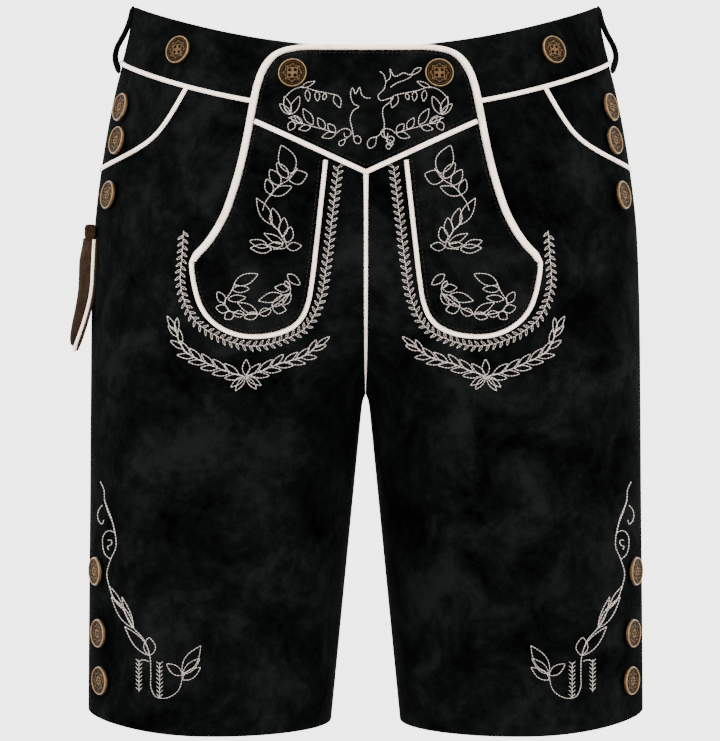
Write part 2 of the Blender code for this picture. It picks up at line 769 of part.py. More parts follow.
def flap_inner_line():
    """The line along which the binding meets the drop front's cloth, on one side."""
    line = half_flap_line()
    line = moved_in(line, flap_binding_width(line) + SEAM_GAP)
    line[0, 0] = 0.0
    return line


def vee_crossing(line, offset):
    """Where a line down one side crosses a height this far above the V seam."""
    over = line[:, 1] - vee_height(line[:, 0]) - offset
    last = int(np.argmax(over < 0))
    share = over[last - 1] / (over[last - 1] - over[last])
    return line[last - 1] + share * (line[last] - line[last - 1]), last


def make_flap_top():
    """The upper panel of the drop front, down to the V seam."""
    edge = flap_inner_line()
    corner, last = vee_crossing(edge, SEAM_GAP)
    low = [(x, vee_height(x) + SEAM_GAP) for x in np.linspace(corner[0], 0, FLAP_FOOT_POINTS)]
    right = np.concatenate([edge[: last - 1], low])
    left = right[-2:0:-1] * np.array([-1.0, 1.0])
    return patch_wall("flap_top", np.concatenate([right, left]), FLAP_LIFT, FLAP_LIFT + FLAP_WALL)


def lobe_line():
    """Outer edge of a lobe, from the flap's lower corner round to the V seam."""
    return smooth_line(LOBE_EDGE, LOBE_LINE_STEP)


def make_lobe(half):
    """A rounded lower panel of the drop front, below the V seam."""
    outer = flap_inner_line()
    corner, last = vee_crossing(outer, -SEAM_GAP)
    outer = outer[last + 1:]
    outer = outer[outer[:, 1] > LOBE_EDGE[0].height + LOBE_CORNER_CLEAR]
    inner = moved_in(lobe_line(), LOBE_BINDING + SEAM_GAP)
    inner = inner[inner[:, 1] < vee_height(inner[:, 0]) - LOBE_VEE_CLEAR][2:]
    xs = np.linspace(inner[-1, 0] - SEAM_GAP, corner[0], LOBE_TOP_POINTS)
    top = np.stack([xs, vee_height(xs) - SEAM_GAP], axis=1)
    outline = np.concatenate([outer, inner, top])
    if half < 0:
        outline = outline[::-1] * np.array([-1.0, 1.0])
    return patch_wall(f"flap_lobe_{side_name(half)}", outline, FLAP_LIFT, FLAP_LIFT + FLAP_WALL)


def strip_between(name, outer, inner, low, high):
    """A cream strip on the front between two flat edge lines with the same number of points."""
    shoulder = low + (high - low) * SHOULDER
    section = (
        (0.0, low),
        (0.0, shoulder),
        (BINDING_ROUNDING, high),
        (1 - BINDING_ROUNDING, high),
        (1.0, shoulder),
        (1.0, low),
    )
    rings = []
    for share, lift in section:
        line = outer + (inner - outer) * share
        rings.append(from_front(line[:, 0], line[:, 1], np.full(len(line), lift))[0])
    return tube(name, np.stack(rings, axis=1), "cream_leather")


def make_flap_binding():
    """The cream binding round the drop front's top and sides, in one piece.

    Both ends are cut level, where the lobes' bindings take over.
    """
    outer = half_flap_line()
    inner = moved_in(outer, flap_binding_width(outer))
    inner[0, 0] = 0.0
    foot = outer[-1, 1]
    before = inner[-2]
    share = (foot - before[1]) / (inner[-1, 1] - before[1])
    inner[-1] = before + share * (inner[-1] - before)
    flip = np.array([-1.0, 1.0])
    outer, inner = (np.concatenate([line[:0:-1] * flip, line]) for line in (outer, inner))
    high = BINDING_LIFT + BINDING_THICK
    return strip_between("flap_binding", outer, inner, BINDING_LIFT, high)


def make_lobe_binding(half):
    """The cream binding round a lobe's lower edge, from the flap's corner to just below the V."""
    outer = lobe_line()
    inner = moved_in(outer, LOBE_BINDING)
    inner[0, 1] = outer[0, 1]
    for line in (outer, inner):
        limit = vee_height(line[-1, 0]) - VEE_PIPING / 2 - 2 * SEAM_GAP
        line[-1, 1] = min(line[-1, 1], limit)
    flip = np.array([half, 1.0])
    high = BINDING_LIFT + LOBE_BINDING_THICK
    name = f"lobe_binding_{side_name(half)}"
    return strip_between(name, outer * flip, inner * flip, BINDING_LIFT, high)


def make_vee_piping():
    """The piping over the V seam."""
    crossing, _ = vee_crossing(flap_inner_line(), -VEE_PIPING / 2)
    reach = crossing[0] - 4 * SEAM_GAP
    xs = np.linspace(-reach, reach, VEE_POINTS)
    centre, normal = from_front(xs, vee_height(xs), np.zeros(len(xs)))
    low = FLAP_LIFT + FLAP_WALL + SEAM_GAP
    high = low + VEE_PIPING_HEIGHT
    return sweep_strip("vee_piping", centre, normal, VEE_PIPING, low, high)


def make_centre_piping():
    """The piping down the front middle seam, from under the V seam's tip to the crotch.

    Where the two fronts meet in a groove it is lifted by the groove's slope, and it narrows.
    """
    share = np.linspace(0, 1, CENTRE_POINTS)
    middle = np.zeros(len(share))
    start = VEE_TIP.height - VEE_PIPING / 2 - 2 * SEAM_GAP
    height = start + (CENTRE_END - start) * share ** CENTRE_SPACING
    width = CENTRE_PIPING * (1 - CENTRE_TAPER * share**CENTRE_TAPER_POWER)
    width += CENTRE_WIDER * np.exp((height - start) / CENTRE_WIDER_OVER)
    centre, normal = from_front(middle, height, middle)
    side = outward(middle, height)
    groove = np.abs(side[:, 0]) / np.hypot(side[:, 1], side[:, 2])
    low = 1.5 * SEAM_GAP + groove * width * CENTRE_GROOVE_LIFT
    high = low + PIPING_HEIGHT * width / CENTRE_PIPING
    return sweep_strip("centre_piping", centre, normal, width, low, high)


def strip_round(name, u, height, half, base=0.0):
    """Piping along a line of (u, height) on one half of the garment."""
    centre = lifted(u, height, np.zeros(len(u)), half)
    normal = outward(u, height) * np.array([half, 1.0, 1.0])
    low = base + SEAM_GAP
    return sweep_strip(name, centre, normal, SEAM_PIPING, low, low + PIPING_HEIGHT)


def flap_edge_u(height):
    """The u of the drop front's outer edge at a height."""
    line = half_flap_line()
    order = np.argsort(line[:, 1])
    across = np.interp(height, line[order, 1], line[order, 0])
    return u_at([across], [height])[0]


def make_waist_piping(half):
    """The piping over the waist seam, from the drop front's edge to the side loop."""
    meeting = float(seam_height(FLAP_SEAM_U))
    start = flap_edge_u(meeting) + FLAP_SEAM_CLEAR_U
    u = np.linspace(0.0, SIDE_U - SIDE_EDGE_U, BAND_COLUMNS)
    u = np.concatenate([[start], u[u > start + WAIST_PIPING_FIRST_U]])
    name = f"waist_piping_{side_name(half)}"
    return strip_round(name, u, seam_height(u), half, BAND_PROUD)


def make_back_waist_piping():
    """The piping over the back of the waist seam, in one piece from loop to loop."""
    u = np.linspace(SIDE_U + SIDE_EDGE_U, 2.0, BAND_COLUMNS)
    centre = lifted(u, seam_height(u), np.zeros(len(u)), 1)
    normal = outward(u, seam_height(u))
    centre[-1, 0] = 0.0
    normal[-1] = (0.0, normal[-1, 1], normal[-1, 2])
    flip = np.array([-1.0, 1.0, 1.0])
    centre = np.concatenate([centre, centre[-2::-1] * flip])
    normal = np.concatenate([normal, normal[-2::-1] * flip])
    normal /= np.linalg.norm(normal, axis=1, keepdims=True)
    low = BAND_PROUD + SEAM_GAP
    high = low + PIPING_HEIGHT
    return sweep_strip("waist_piping_back", centre, normal, SEAM_PIPING, low, high)


def make_pocket_piping(half):
    """The piping along the curved pocket edge, from the waist seam to the side seam."""
    line = pocket_line(0.0)
    u, height = line[:, 0], line[:, 1]
    clear = height < seam_height(u) - SEAM_PIPING / 2 - 3 * SEAM_GAP
    return strip_round(f"pocket_piping_{side_name(half)}", u[clear], height[clear], half)


def button_mesh():
    """A round brass button facing +Z with its shank's foot at z 0: dished face, rim, four holes."""
    r, t, stand = BUTTON_RADIUS, BUTTON_THICK, BUTTON_STAND
    profile = (
        (SHANK_RADIUS, 0.0),
        (SHANK_RADIUS, stand),
        (r * 0.96, stand),
        (r, stand + t * 0.50),
        (r * 0.90, stand + t),
        (r * 0.78, stand + t * 0.84),
        (r * 0.44, stand + t * 0.84),
    )
    turn = np.linspace(0, 2 * math.pi, BUTTON_SIDES, endpoint=False)
    rings = np.array(
        [[(a * math.cos(w), a * math.sin(w), z) for w in turn] for a, z in profile]
    )
    body = tube("button_body", rings, "aged_brass")
    cutters = []
    for sx in (-1, 1):
        for sy in (-1, 1):
            cutters.append(hole_cutter(sx * HOLE_OFFSET, sy * HOLE_OFFSET, stand + t))
    for cutter in cutters:
        cut = body.modifiers.new("hole", "BOOLEAN")
        cut.operation = "DIFFERENCE"
        cut.object = cutter
    bpy.context.view_layer.update()
    graph = bpy.context.evaluated_depsgraph_get()
    mesh = bpy.data.meshes.new_from_object(body.evaluated_get(graph), depsgraph=graph)
    mesh.name = "brass_button"
    for helper in [body, *cutters]:
        bpy.data.objects.remove(helper)
    return mesh


def hole_cutter(x, y, top):
    """A square bar that sinks one sewing hole into the button's face."""
    s = HOLE_SIDE / 2
    corners = ((-s, -s), (s, -s), (s, s), (-s, s))
    low, high = top - BUTTON_THICK * 0.85, top + 0.001
    rings = np.array([[(x + a, y + b, z) for a, b in corners] for z in (low, high)])
    return tube("hole_cutter", rings, "aged_brass", smooth=False)


def make_buttons():
    """Every button, each its own object on the shared mesh, on both sides of the garment."""
    mesh = button_mesh()
    for button in BUTTONS:
        for half in (1, -1):
            lift = STAND_ON[button.on] + SEAM_GAP
            spot, normal = from_front([half * button.across], [button.height], [lift])
            obj = bpy.data.objects.new(f"{button.name}_{side_name(half)}", mesh)
            obj.location = Vector(spot[0])
            obj.rotation_mode = "QUATERNION"
            obj.rotation_quaternion = Vector(normal[0]).to_track_quat("Z", "Y")
            bpy.context.scene.collection.objects.link(obj)


def make_belt_loop(half):
    """A folded strip that stands off the waistband over the side seam, sewn above and below."""
    route = smooth_line(LOOP_ROUTE, LOOP_STEP)
    out, height = route[:, 0], route[:, 1]
    normal = outward(SIDE_U, height)
    middle = worn(SIDE_U, height) + normal * (BAND_PROUD + out)[:, None]
    wide = np.cross(normal, (0.0, 0.0, 1.0))
    wide /= np.linalg.norm(wide, axis=1, keepdims=True)
    tangent = np.gradient(middle, axis=0)
    thick = np.cross(wide, tangent)
    thick /= np.linalg.norm(thick, axis=1, keepdims=True)
    w, t = LOOP_WIDTH / 2, LOOP_THICK / 2
    section = ((-w, -t * 0.4), (-w * 0.8, -t), (w * 0.8, -t), (w, -t * 0.4))
    section += tuple((-a, -b) for a, b in section)
    rings = np.stack([middle + wide * a + thick * b for a, b in section], axis=1)
    rings[..., 0] *= half
    return tube(f"belt_loop_{side_name(half)}", rings, "black_suede")


def sheath_half_width(down):
    return SHEATH_HALF_WIDTH * (1 - (1 - SHEATH_TIP_WIDTH) * down**3)


def sheath_height(down):
    return SHEATH_TOP + (SHEATH_TIP - SHEATH_TOP) * down


def sheath_u(offset):
    """The u of a place this far behind the sheath's middle line, along the leg's side."""
    return SHEATH_MIDDLE_U + offset / HALF_GIRTH


def stand_off(down):
    """How far the sheath's back stands off the leg: on it above, and well clear at the tip."""
    t = np.clip((down - 0.40) / 0.60, 0, 1)
    return SEAM_GAP + SHEATH_STAND_OFF * t * t * (1.5 - 0.5 * t)


def sheath_bulge(down, across):
    """Height of the hollow between the sheath's two leathers."""
    tip = np.sqrt(np.clip(1 - down**6, 0, 1))
    return SHEATH_HOLLOW * np.clip(1 - across**2, 0, 1) ** 0.6 * tip


def make_knife_pocket():
    """A brown leather sheath on the wearer's right thigh, open above: back, front, piping, roll."""
    down, across = np.meshgrid(np.linspace(0, 1, 10), np.linspace(-1, 1, 9), indexing="ij")
    u = sheath_u(across * sheath_half_width(down))
    height = sheath_height(down)
    back_low = stand_off(down)
    back_high = back_low + SHEATH_LEATHER
    wall_piece("knife_pocket_back", u, height, back_low, back_high, -1, "brown_leather")
    front_low = back_high + SEAM_GAP + sheath_bulge(down, across)
    front_high = front_low + SHEATH_LEATHER
    wall_piece("knife_pocket_front", u, height, front_low, front_high, -1, "brown_leather")
    make_sheath_piping()
    make_sheath_roll()


def make_sheath_piping():
    """Round piping that closes the sheath: down its front edge, round the tip and up its back."""
    down = np.linspace(0.02, 1, 9)
    front_edge = np.stack([-sheath_half_width(down), sheath_height(down)], axis=1)
    back_edge = front_edge[::-1] * np.array([-1.0, 1.0])
    edge = np.concatenate([front_edge, back_edge])
    line = moved_in(edge, SHEATH_PIPING / 2 + SHEATH_PIPING_CLEAR)
    line = smooth_line(line, SHEATH_PIPING_STEP)
    at = np.clip((SHEATH_TOP - line[:, 1]) / (SHEATH_TOP - SHEATH_TIP), 0, 1)
    lift = stand_off(at) + SHEATH_LEATHER + SEAM_GAP / 2
    centre = lifted(sheath_u(line[:, 0]), line[:, 1], lift, -1)
    normal = outward(sheath_u(line[:, 0]), line[:, 1]) * np.array([-1.0, 1.0, 1.0])
    tangent = np.gradient(centre, axis=0)
    across = np.cross(tangent, normal)
    across /= np.linalg.norm(across, axis=1, keepdims=True)
    above = np.cross(across, tangent)
    above /= np.linalg.norm(above, axis=1, keepdims=True)
    turn = np.linspace(0, 2 * math.pi, 6, endpoint=False)
    r = SHEATH_PIPING / 2
    rings = [centre + across * (r * math.cos(w)) + above * (r * math.sin(w)) for w in turn]
    return tube("knife_pocket_piping", np.stack(rings, axis=1), "cream_leather")


def make_sheath_roll():
    """The rolled strap end that holds the sheath at the front corner of its mouth.

    Its outline, seen along the leg's side, is an ellipse drawn out towards a rectangle: cosine
    and sine of the turn, each to a power below 1.
    """
    height = SHEATH_TOP + SEAM_GAP + ROLL_HALF_HEIGHT
    centre = lifted([sheath_u(ROLL_BACK)], [height], [ROLL_HALF_WIDTH + 2 * SEAM_GAP], -1)[0]
    turn = np.linspace(0, 2 * math.pi, ROLL_SIDES, endpoint=False) + math.pi / ROLL_SIDES
    ring = np.zeros((ROLL_SIDES, 3))
    for axis, wave, half in ((0, np.cos(turn), ROLL_HALF_WIDTH), (2, np.sin(turn), ROLL_HALF_HEIGHT)):
        ring[:, axis] = half * np.sign(wave) * np.abs(wave) ** ROLL_SQUARENESS
    along = np.array([-0.5, -0.36, 0.36, 0.5]) * ROLL_LENGTH
    size = np.array([ROLL_END_SHARE, 1.0, 1.0, ROLL_END_SHARE])
    rings = centre + along[:, None, None] * np.array([0.0, 1.0, 0.0]) + size[:, None, None] * ring
    return tube("knife_pocket_roll", rings, "brown_leather")


def main():
    clear_scene()
    for half in (1, -1):
        make_front_panel(half)
        make_back_panel(half)
        make_pocket_facing(half)
        make_front_band(half)
        make_lobe(half)
        make_lobe_binding(half)
        make_waist_piping(half)
        make_pocket_piping(half)
        make_belt_loop(half)
    make_back_band()
    make_back_waist_piping()
    make_flap_top()
    make_flap_binding()
    make_vee_piping()
    make_centre_piping()
    make_buttons()
    make_knife_pocket()


main()
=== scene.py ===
# %% [markdown]
# # Suede knee breeches, dressed
# Short breeches of European folk dress are cut from thick black suede, bound in cream leather
# and closed by a drop front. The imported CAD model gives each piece's place and size. This
# lesson lays a finer piece over each of its solids, so the frame is loaded first and its box
# is kept: the finished breeches have to fill the same space.

import math
from collections import namedtuple

import bpy
import numpy as np
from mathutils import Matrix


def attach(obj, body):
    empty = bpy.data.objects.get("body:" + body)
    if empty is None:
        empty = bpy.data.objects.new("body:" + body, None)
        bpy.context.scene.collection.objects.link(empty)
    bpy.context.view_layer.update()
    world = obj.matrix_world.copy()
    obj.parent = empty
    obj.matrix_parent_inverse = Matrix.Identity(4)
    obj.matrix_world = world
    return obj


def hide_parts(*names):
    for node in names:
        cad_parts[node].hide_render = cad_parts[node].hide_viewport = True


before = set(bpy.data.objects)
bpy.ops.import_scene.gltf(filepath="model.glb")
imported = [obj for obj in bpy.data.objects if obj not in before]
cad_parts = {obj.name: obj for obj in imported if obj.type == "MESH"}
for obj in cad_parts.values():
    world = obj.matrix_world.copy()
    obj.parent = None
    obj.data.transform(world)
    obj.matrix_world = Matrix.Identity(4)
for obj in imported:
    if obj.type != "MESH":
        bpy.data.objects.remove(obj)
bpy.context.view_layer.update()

# %% [markdown]
# ## The camera
# The photograph was taken level, from straight in front, with a long lens: at 2 m a picture
# 741 pixels high takes in 530 mm. A camera laid out with those numbers first makes every
# later render comparable with the photograph.

# %% The camera
DISTANCE = 2.0
VIEW_HEIGHT = 0.5298
SENSOR = 36.0
EYE = (-0.0040, -DISTANCE, -0.2363)

camera = bpy.data.cameras.new("camera")
camera.sensor_width = SENSOR
camera.lens = SENSOR * DISTANCE / VIEW_HEIGHT
eye = bpy.data.objects.new("camera", camera)
eye.location = EYE
eye.rotation_euler = (math.pi / 2, 0, 0)
bpy.context.scene.collection.objects.link(eye)
bpy.context.scene.camera = eye
print(f"lens {camera.lens:.1f} mm, {DISTANCE} m in front")

# %% [markdown]
# ## The worn form
# All the cloth lies on one form: the shape that a wearer's body gives the breeches. It could
# be sculpted or simulated, but a few level sections say the same thing in a table. Each
# section is two ellipse arcs in front and two behind. Above the crotch the inner arc starts
# past the middle, and so the two legs grow into one seat.
#
# A place on the form is (u, height). u runs round half of the garment: 0 at the front middle
# or inseam, 1 at the outermost side and 2 at the back middle. The turn is the same walk
# measured by the angle of the arcs: 0 at the inner end, 1 at the ridge, 2 at the side.

# %% The form's sections
WAIST_TOP, WAIST_SEAM, HEM, CROTCH = 0.0232, -0.0166, -0.4780, -0.2535
CROTCH_Y = 0.0080
RISE = {"front": 0.0950, "back": 0.1250}
MERGE_POWER = 1.4
INSEAM_SPREAD, INSEAM_START, INSEAM_START_OVER = 0.098, 0.0018, 0.0030
SIDE_U = 0.95
SEAM_GAP = 0.0003
SIDES = ((1, "left"), (-1, "right"))

Section = namedtuple("Section", "height half_width front back front_ridge back_ridge")
SECTIONS = (
    Section(-0.500, 0.1980, 0.083, 0.081, 0.112, 0.112),
    Section(-0.400, 0.1973, 0.089, 0.088, 0.107, 0.108),
    Section(-0.330, 0.1966, 0.096, 0.098, 0.103, 0.104),
    Section(-0.254, 0.1960, 0.106, 0.118, 0.098, 0.100),
    Section(-0.180, 0.1950, 0.118, 0.138, 0.080, 0.088),
    Section(-0.130, 0.1928, 0.120, 0.138, 0.060, 0.072),
    Section(-0.085, 0.1873, 0.118, 0.130, 0.040, 0.056),
    Section(-0.040, 0.1790, 0.113, 0.118, 0.024, 0.040),
    Section(0.000, 0.1690, 0.107, 0.109, 0.016, 0.028),
    Section(0.040, 0.1625, 0.101, 0.104, 0.012, 0.020),
)


def smooth_curve(x, xs, ys):
    """Cubic through (xs, ys): each span blends its end values and slopes with Hermite's weights."""
    slopes = np.gradient(ys, xs)
    x = np.clip(x, xs[0], xs[-1])
    left = np.clip(np.searchsorted(xs, x) - 1, 0, len(xs) - 2)
    step = xs[left + 1] - xs[left]
    t = (x - xs[left]) / step
    start = (2 * t**3 - 3 * t**2 + 1) * ys[left] + (t**3 - 2 * t**2 + t) * step * slopes[left]
    end = (3 * t**2 - 2 * t**3) * ys[left + 1] + (t**3 - t**2) * step * slopes[left + 1]
    return start + end


def section_size(height, column):
    """One column of the table at any height."""
    rows = np.array(SECTIONS)
    return smooth_curve(height, rows[:, 0], rows[:, Section._fields.index(column)])


def inseam_gap(height):
    """Half the space between the legs: it opens quickly at the crotch and then spreads evenly."""
    below = np.maximum(CROTCH - height, 0.0)
    return INSEAM_START * (1 - np.exp(-below / INSEAM_START_OVER)) + INSEAM_SPREAD * below


def merge_share(height, face):
    """1 up to the crotch, falling to 0 where the legs have become one front or one seat."""
    rise = np.clip((height - CROTCH) / RISE[face], 0, 1)
    return np.maximum(1 - rise**MERGE_POWER, 0.02)


# %% [markdown]
# ## Creases
# Suede this thick takes few creases, all of them soft: a pull from the crotch up to each
# hip, one across the thigh, and a break at the hem. Each is a Gauss hill, longer than wide,
# that pushes the cloth in along y. They are listed in a table, because a simulation would
# give the breeches another wearer. A few finer ones are added to those of the solids.

# %% The creases
FOLD_FADE, FOLD_FADE_TURN = 0.030, 0.6
Fold = namedtuple("Fold", "side x height lean half_length half_width depth")
FOLDS = (
    Fold("front", 0.055, -0.270, 35, 0.055, 0.018, 0.0030),
    Fold("front", 0.120, -0.310, 10, 0.050, 0.020, 0.0014),
    Fold("front", 0.062, -0.455, -24, 0.050, 0.018, 0.0022),
    Fold("back", 0.060, -0.264, 33, 0.065, 0.020, 0.0045),
    Fold("back", 0.085, -0.312, 24, 0.065, 0.020, 0.0030),
    Fold("back", 0.105, -0.440, -14, 0.050, 0.020, 0.0020),
)
FINE_FOLDS = (
    Fold("front", 0.050, -0.300, 48, 0.032, 0.006, 0.0007),
    Fold("front", 0.042, -0.330, 62, 0.040, 0.007, 0.0006),
    Fold("front", 0.150, -0.245, -8, 0.035, 0.007, 0.0005),
    Fold("front", 0.155, -0.285, 6, 0.035, 0.006, 0.0005),
    Fold("front", 0.060, -0.425, -34, 0.030, 0.006, 0.0006),
    Fold("front", 0.140, -0.465, 12, 0.040, 0.007, 0.0005),
    Fold("back", 0.050, -0.240, 44, 0.040, 0.007, 0.0012),
    Fold("back", 0.070, -0.285, 30, 0.050, 0.007, 0.0012),
    Fold("back", 0.110, -0.262, 14, 0.045, 0.007, 0.0009),
    Fold("back", 0.090, -0.335, 34, 0.050, 0.008, 0.0009),
    Fold("back", 0.060, -0.380, -30, 0.045, 0.008, 0.0007),
    Fold("back", 0.130, -0.415, -10, 0.050, 0.008, 0.0006),
    Fold("back", 0.100, -0.060, 78, 0.030, 0.006, 0.0005),
    Fold("back", 0.060, -0.055, 84, 0.028, 0.005, 0.0005),
)


def fold_depth(face, x, height, turn):
    """The sum of the Gauss hills on this face, faded out at the inseam and at the side."""
    total = 0.0
    for fold in FOLDS + FINE_FOLDS:
        if fold.side != face:
            continue
        lean = math.radians(fold.lean)
        dx, dz = x - fold.x, height - fold.height
        along = dx * math.cos(lean) + dz * math.sin(lean)
        across = dz * math.cos(lean) - dx * math.sin(lean)
        reach = (along / fold.half_length) ** 2 + (across / fold.half_width) ** 2
        total = total + fold.depth * np.exp(-reach)
    inner = np.clip((x - inseam_gap(height)) / FOLD_FADE, 0, 1)
    edge = inner * np.clip((2 - turn) / FOLD_FADE_TURN, 0, 1)
    return total * edge * edge * (3 - 2 * edge)


# %% [markdown]
# ## Reading the form
# Three questions are asked of the form: where is the point at this turn, which turn is this
# far round, and which way is out. The second has no formula, so it is answered once in a
# table, a row for every millimetre of height, and read from it after that.

# %% Points, turns and normals
def unit(vectors):
    """Each vector divided by its length."""
    return vectors / np.linalg.norm(vectors, axis=-1, keepdims=True)


def section_point(turn, height, face):
    """x is the ridge, less the inner half's cosine, plus the outer part's sine; y is the depth
    times the inner sine, less what the outer arc has come back."""
    depth = section_size(height, face)
    ridge = section_size(height, face + "_ridge")
    width = section_size(height, "half_width")
    out = -1.0 if face == "front" else 1.0
    inner_half = (ridge - inseam_gap(height)) / merge_share(height, face)
    inner = np.minimum(turn, 1.0) * math.pi / 2
    outer = np.maximum(turn - 1.0, 0.0) * math.pi / 2
    x = ridge - inner_half * np.cos(inner) + (width - ridge) * np.sin(outer)
    y = CROTCH_Y + (out * depth - CROTCH_Y) * np.sin(inner) - out * depth * (1 - np.cos(outer))
    return x, y - out * fold_depth(face, x, height, turn)


TABLE_HEIGHTS = np.linspace(-0.505, 0.040, 546)
TABLE_SHARES = np.linspace(0, 1, 401)


def turn_table(face):
    """The turn at even shares of the way round, a row for each height."""
    height = TABLE_HEIGHTS[:, None]
    start = np.arccos(merge_share(height, face)) / (math.pi / 2)
    inner = start + (1 - start) * np.linspace(0, 1, 120, endpoint=False)
    outer = np.broadcast_to(np.linspace(1, 2, 281), (len(height), 281))
    turn = np.concatenate([inner, outer], axis=1)
    x, y = section_point(turn, height, face)
    run = np.cumsum(np.hypot(np.diff(x, axis=1, prepend=x[:, :1]),
                             np.diff(y, axis=1, prepend=y[:, :1])), axis=1)
    run /= run[:, -1:]
    return np.array([np.interp(TABLE_SHARES, r, t) for r, t in zip(run, turn)])


TURNS = {face: turn_table(face) for face in ("front", "back")}


def turn_at(u, height, face):
    """The table read between its rows and columns."""
    share = np.clip(u if face == "front" else 2 - u, 0, 1)
    step = TABLE_HEIGHTS[1] - TABLE_HEIGHTS[0]
    row = np.clip((height - TABLE_HEIGHTS[0]) / step, 0, len(TABLE_HEIGHTS) - 1.001)
    column = share * (len(TABLE_SHARES) - 1.001)
    i, j = row.astype(int), column.astype(int)
    a, b = row - i, column - j
    table = TURNS[face]
    low = table[i, j] * (1 - b) + table[i, j + 1] * b
    high = table[i + 1, j] * (1 - b) + table[i + 1, j + 1] * b
    return low * (1 - a) + high * a


def surface(turn, height, face):
    x, y = section_point(turn, height, face)
    return np.stack([x, y, height], axis=-1)


def with_normals(turn, height, face):
    """Points on the +X side and the unit normals that look out, from differences each way."""
    sign = 1.0 if face == "front" else -1.0
    along = surface(turn + 0.01, height, face) - surface(turn - 0.01, height, face)
    up = surface(turn, height + 0.0006, face) - surface(turn, height - 0.0006, face)
    return surface(turn, height, face), unit(np.cross(sign * along, up))


def worn(u, height):
    """Points and normals at (u, height), front and back joined at the outermost side."""
    u, height = np.broadcast_arrays(np.asarray(u, float), np.asarray(height, float))
    front = with_normals(turn_at(u, height, "front"), height, "front")
    back = with_normals(turn_at(u, height, "back"), height, "back")
    on_front = (u <= 1.0)[..., None]
    return tuple(np.where(on_front, f, b) for f, b in zip(front, back))


def lifted(u, height, lift, half):
    """The form moved out along its normal; half is +1 or -1, the side of the middle, where the
    two halves meet edge to edge so that no light comes through the seam."""
    point, normal = worn(u, height)
    point = point + normal * np.asarray(lift, float)[..., None]
    point[..., 0] = np.maximum(point[..., 0], 0.0) * half
    return point


def front_turn(across, height):
    """The front's turn at a distance from the middle: section_point's x solved for the turn."""
    ridge, width = section_size(height, "front_ridge"), section_size(height, "half_width")
    inner_half = (ridge - inseam_gap(height)) / merge_share(height, "front")
    inner = np.arccos(np.clip((ridge - across) / inner_half, 0, 1))
    outer = np.arcsin(np.clip((across - ridge) / (width - ridge), 0, 1))
    return (inner + outer) / (math.pi / 2)


MIDDLE_TURN = 0.01


def from_front(across, height, lift=0.0):
    """Points and normals over the front, seen from the front. across is signed, and the
    normals turn over from one side to the other within MIDDLE_TURN of the middle."""
    across, height = np.broadcast_arrays(np.asarray(across, float), np.asarray(height, float))
    point, normal = with_normals(front_turn(np.abs(across), height), height, "front")
    side = np.where(across < 0, -1.0, 1.0)
    normal[..., 0] *= np.clip(np.abs(across) / MIDDLE_TURN, 0, 1)
    normal = unit(normal)
    point = point + normal * np.broadcast_to(lift, across.shape)[..., None]
    point[..., 0] *= side
    normal[..., 0] *= side
    return point, normal


waist = worn(np.linspace(0, 2, 400), 0.0)[0]
print(f"round the waist {2000 * np.linalg.norm(np.diff(waist, axis=0), axis=1).sum():.0f} mm")

# %% [markdown]
# ## Making meshes
# A cloth piece is a closed wall between an outer and an inner grid. A strip or cord is a
# section carried along a path. Both come down to a block of points and a block of faces,
# and one function turns those into an object and ties it to the CAD node that it stands for.
# If a wall comes out inside out, its volume is negative, and its faces are turned over.

# %% From arrays to objects
def signed_volume(points, faces):
    """Six times the volume: the sum of each face's corner dotted with its crossed edges."""
    a, b, c = points[faces[:, 0]], points[faces[:, 1]], points[faces[:, 2]]
    total = np.einsum("ij,ij->", a, np.cross(b, c))
    if faces.shape[1] == 4:
        total += np.einsum("ij,ij->", a, np.cross(c, points[faces[:, 3]]))
    return total


def make_piece(name, points, faces, finish, nodes=(), slot=None, sharp=50):
    """An object from points and blocks of faces, riding on the body and replacing its nodes."""
    blocks = [faces] if isinstance(faces, np.ndarray) else faces
    if sum(signed_volume(points, block) for block in blocks) < 0:
        blocks = [block[:, ::-1] for block in blocks]
    sizes = np.concatenate([np.full(len(block), block.shape[1]) for block in blocks])
    corners = np.concatenate([block.ravel() for block in blocks])
    mesh = bpy.data.meshes.new(name)
    mesh.vertices.add(len(points))
    mesh.vertices.foreach_set("co", np.asarray(points, np.float32).ravel())
    mesh.loops.add(len(corners))
    mesh.loops.foreach_set("vertex_index", corners.astype(np.int32))
    mesh.polygons.add(len(sizes))
    mesh.polygons.foreach_set("loop_start", (np.cumsum(sizes) - sizes).astype(np.int32))
    mesh.update(calc_edges=True)
    mesh.validate()
    mesh.shade_smooth()
    mesh.set_sharp_from_angle(angle=math.radians(sharp))
    mesh.materials.append(finish)
    piece = bpy.data.objects.new(name, mesh)
    bpy.context.scene.collection.objects.link(piece)
    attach(piece, "root")
    if nodes:
        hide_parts(*nodes)
    return piece


def grid_faces(rows, columns):
    """The four-cornered faces of a grid of points counted row by row."""
    index = np.arange(rows * columns).reshape(rows, columns)
    return np.stack([index[:-1, :-1], index[:-1, 1:], index[1:, 1:], index[1:, :-1]],
                    axis=-1).reshape(-1, 4)


def wall(outer, inner):
    """A closed wall between two grids: both faces, and a rim round their edges."""
    rows, columns = outer.shape[:2]
    count = rows * columns
    index = np.arange(count).reshape(rows, columns)
    rim = np.concatenate([index[0], index[1:, -1], index[-1, -2::-1], index[-2:0:-1, 0]])
    after = np.roll(rim, -1)
    faces = grid_faces(rows, columns)
    around = np.stack([after, rim, rim + count, after + count], axis=-1)
    points = np.concatenate([outer.reshape(-1, 3), inner.reshape(-1, 3)])
    return points, np.concatenate([faces, faces[:, ::-1] + count, around])


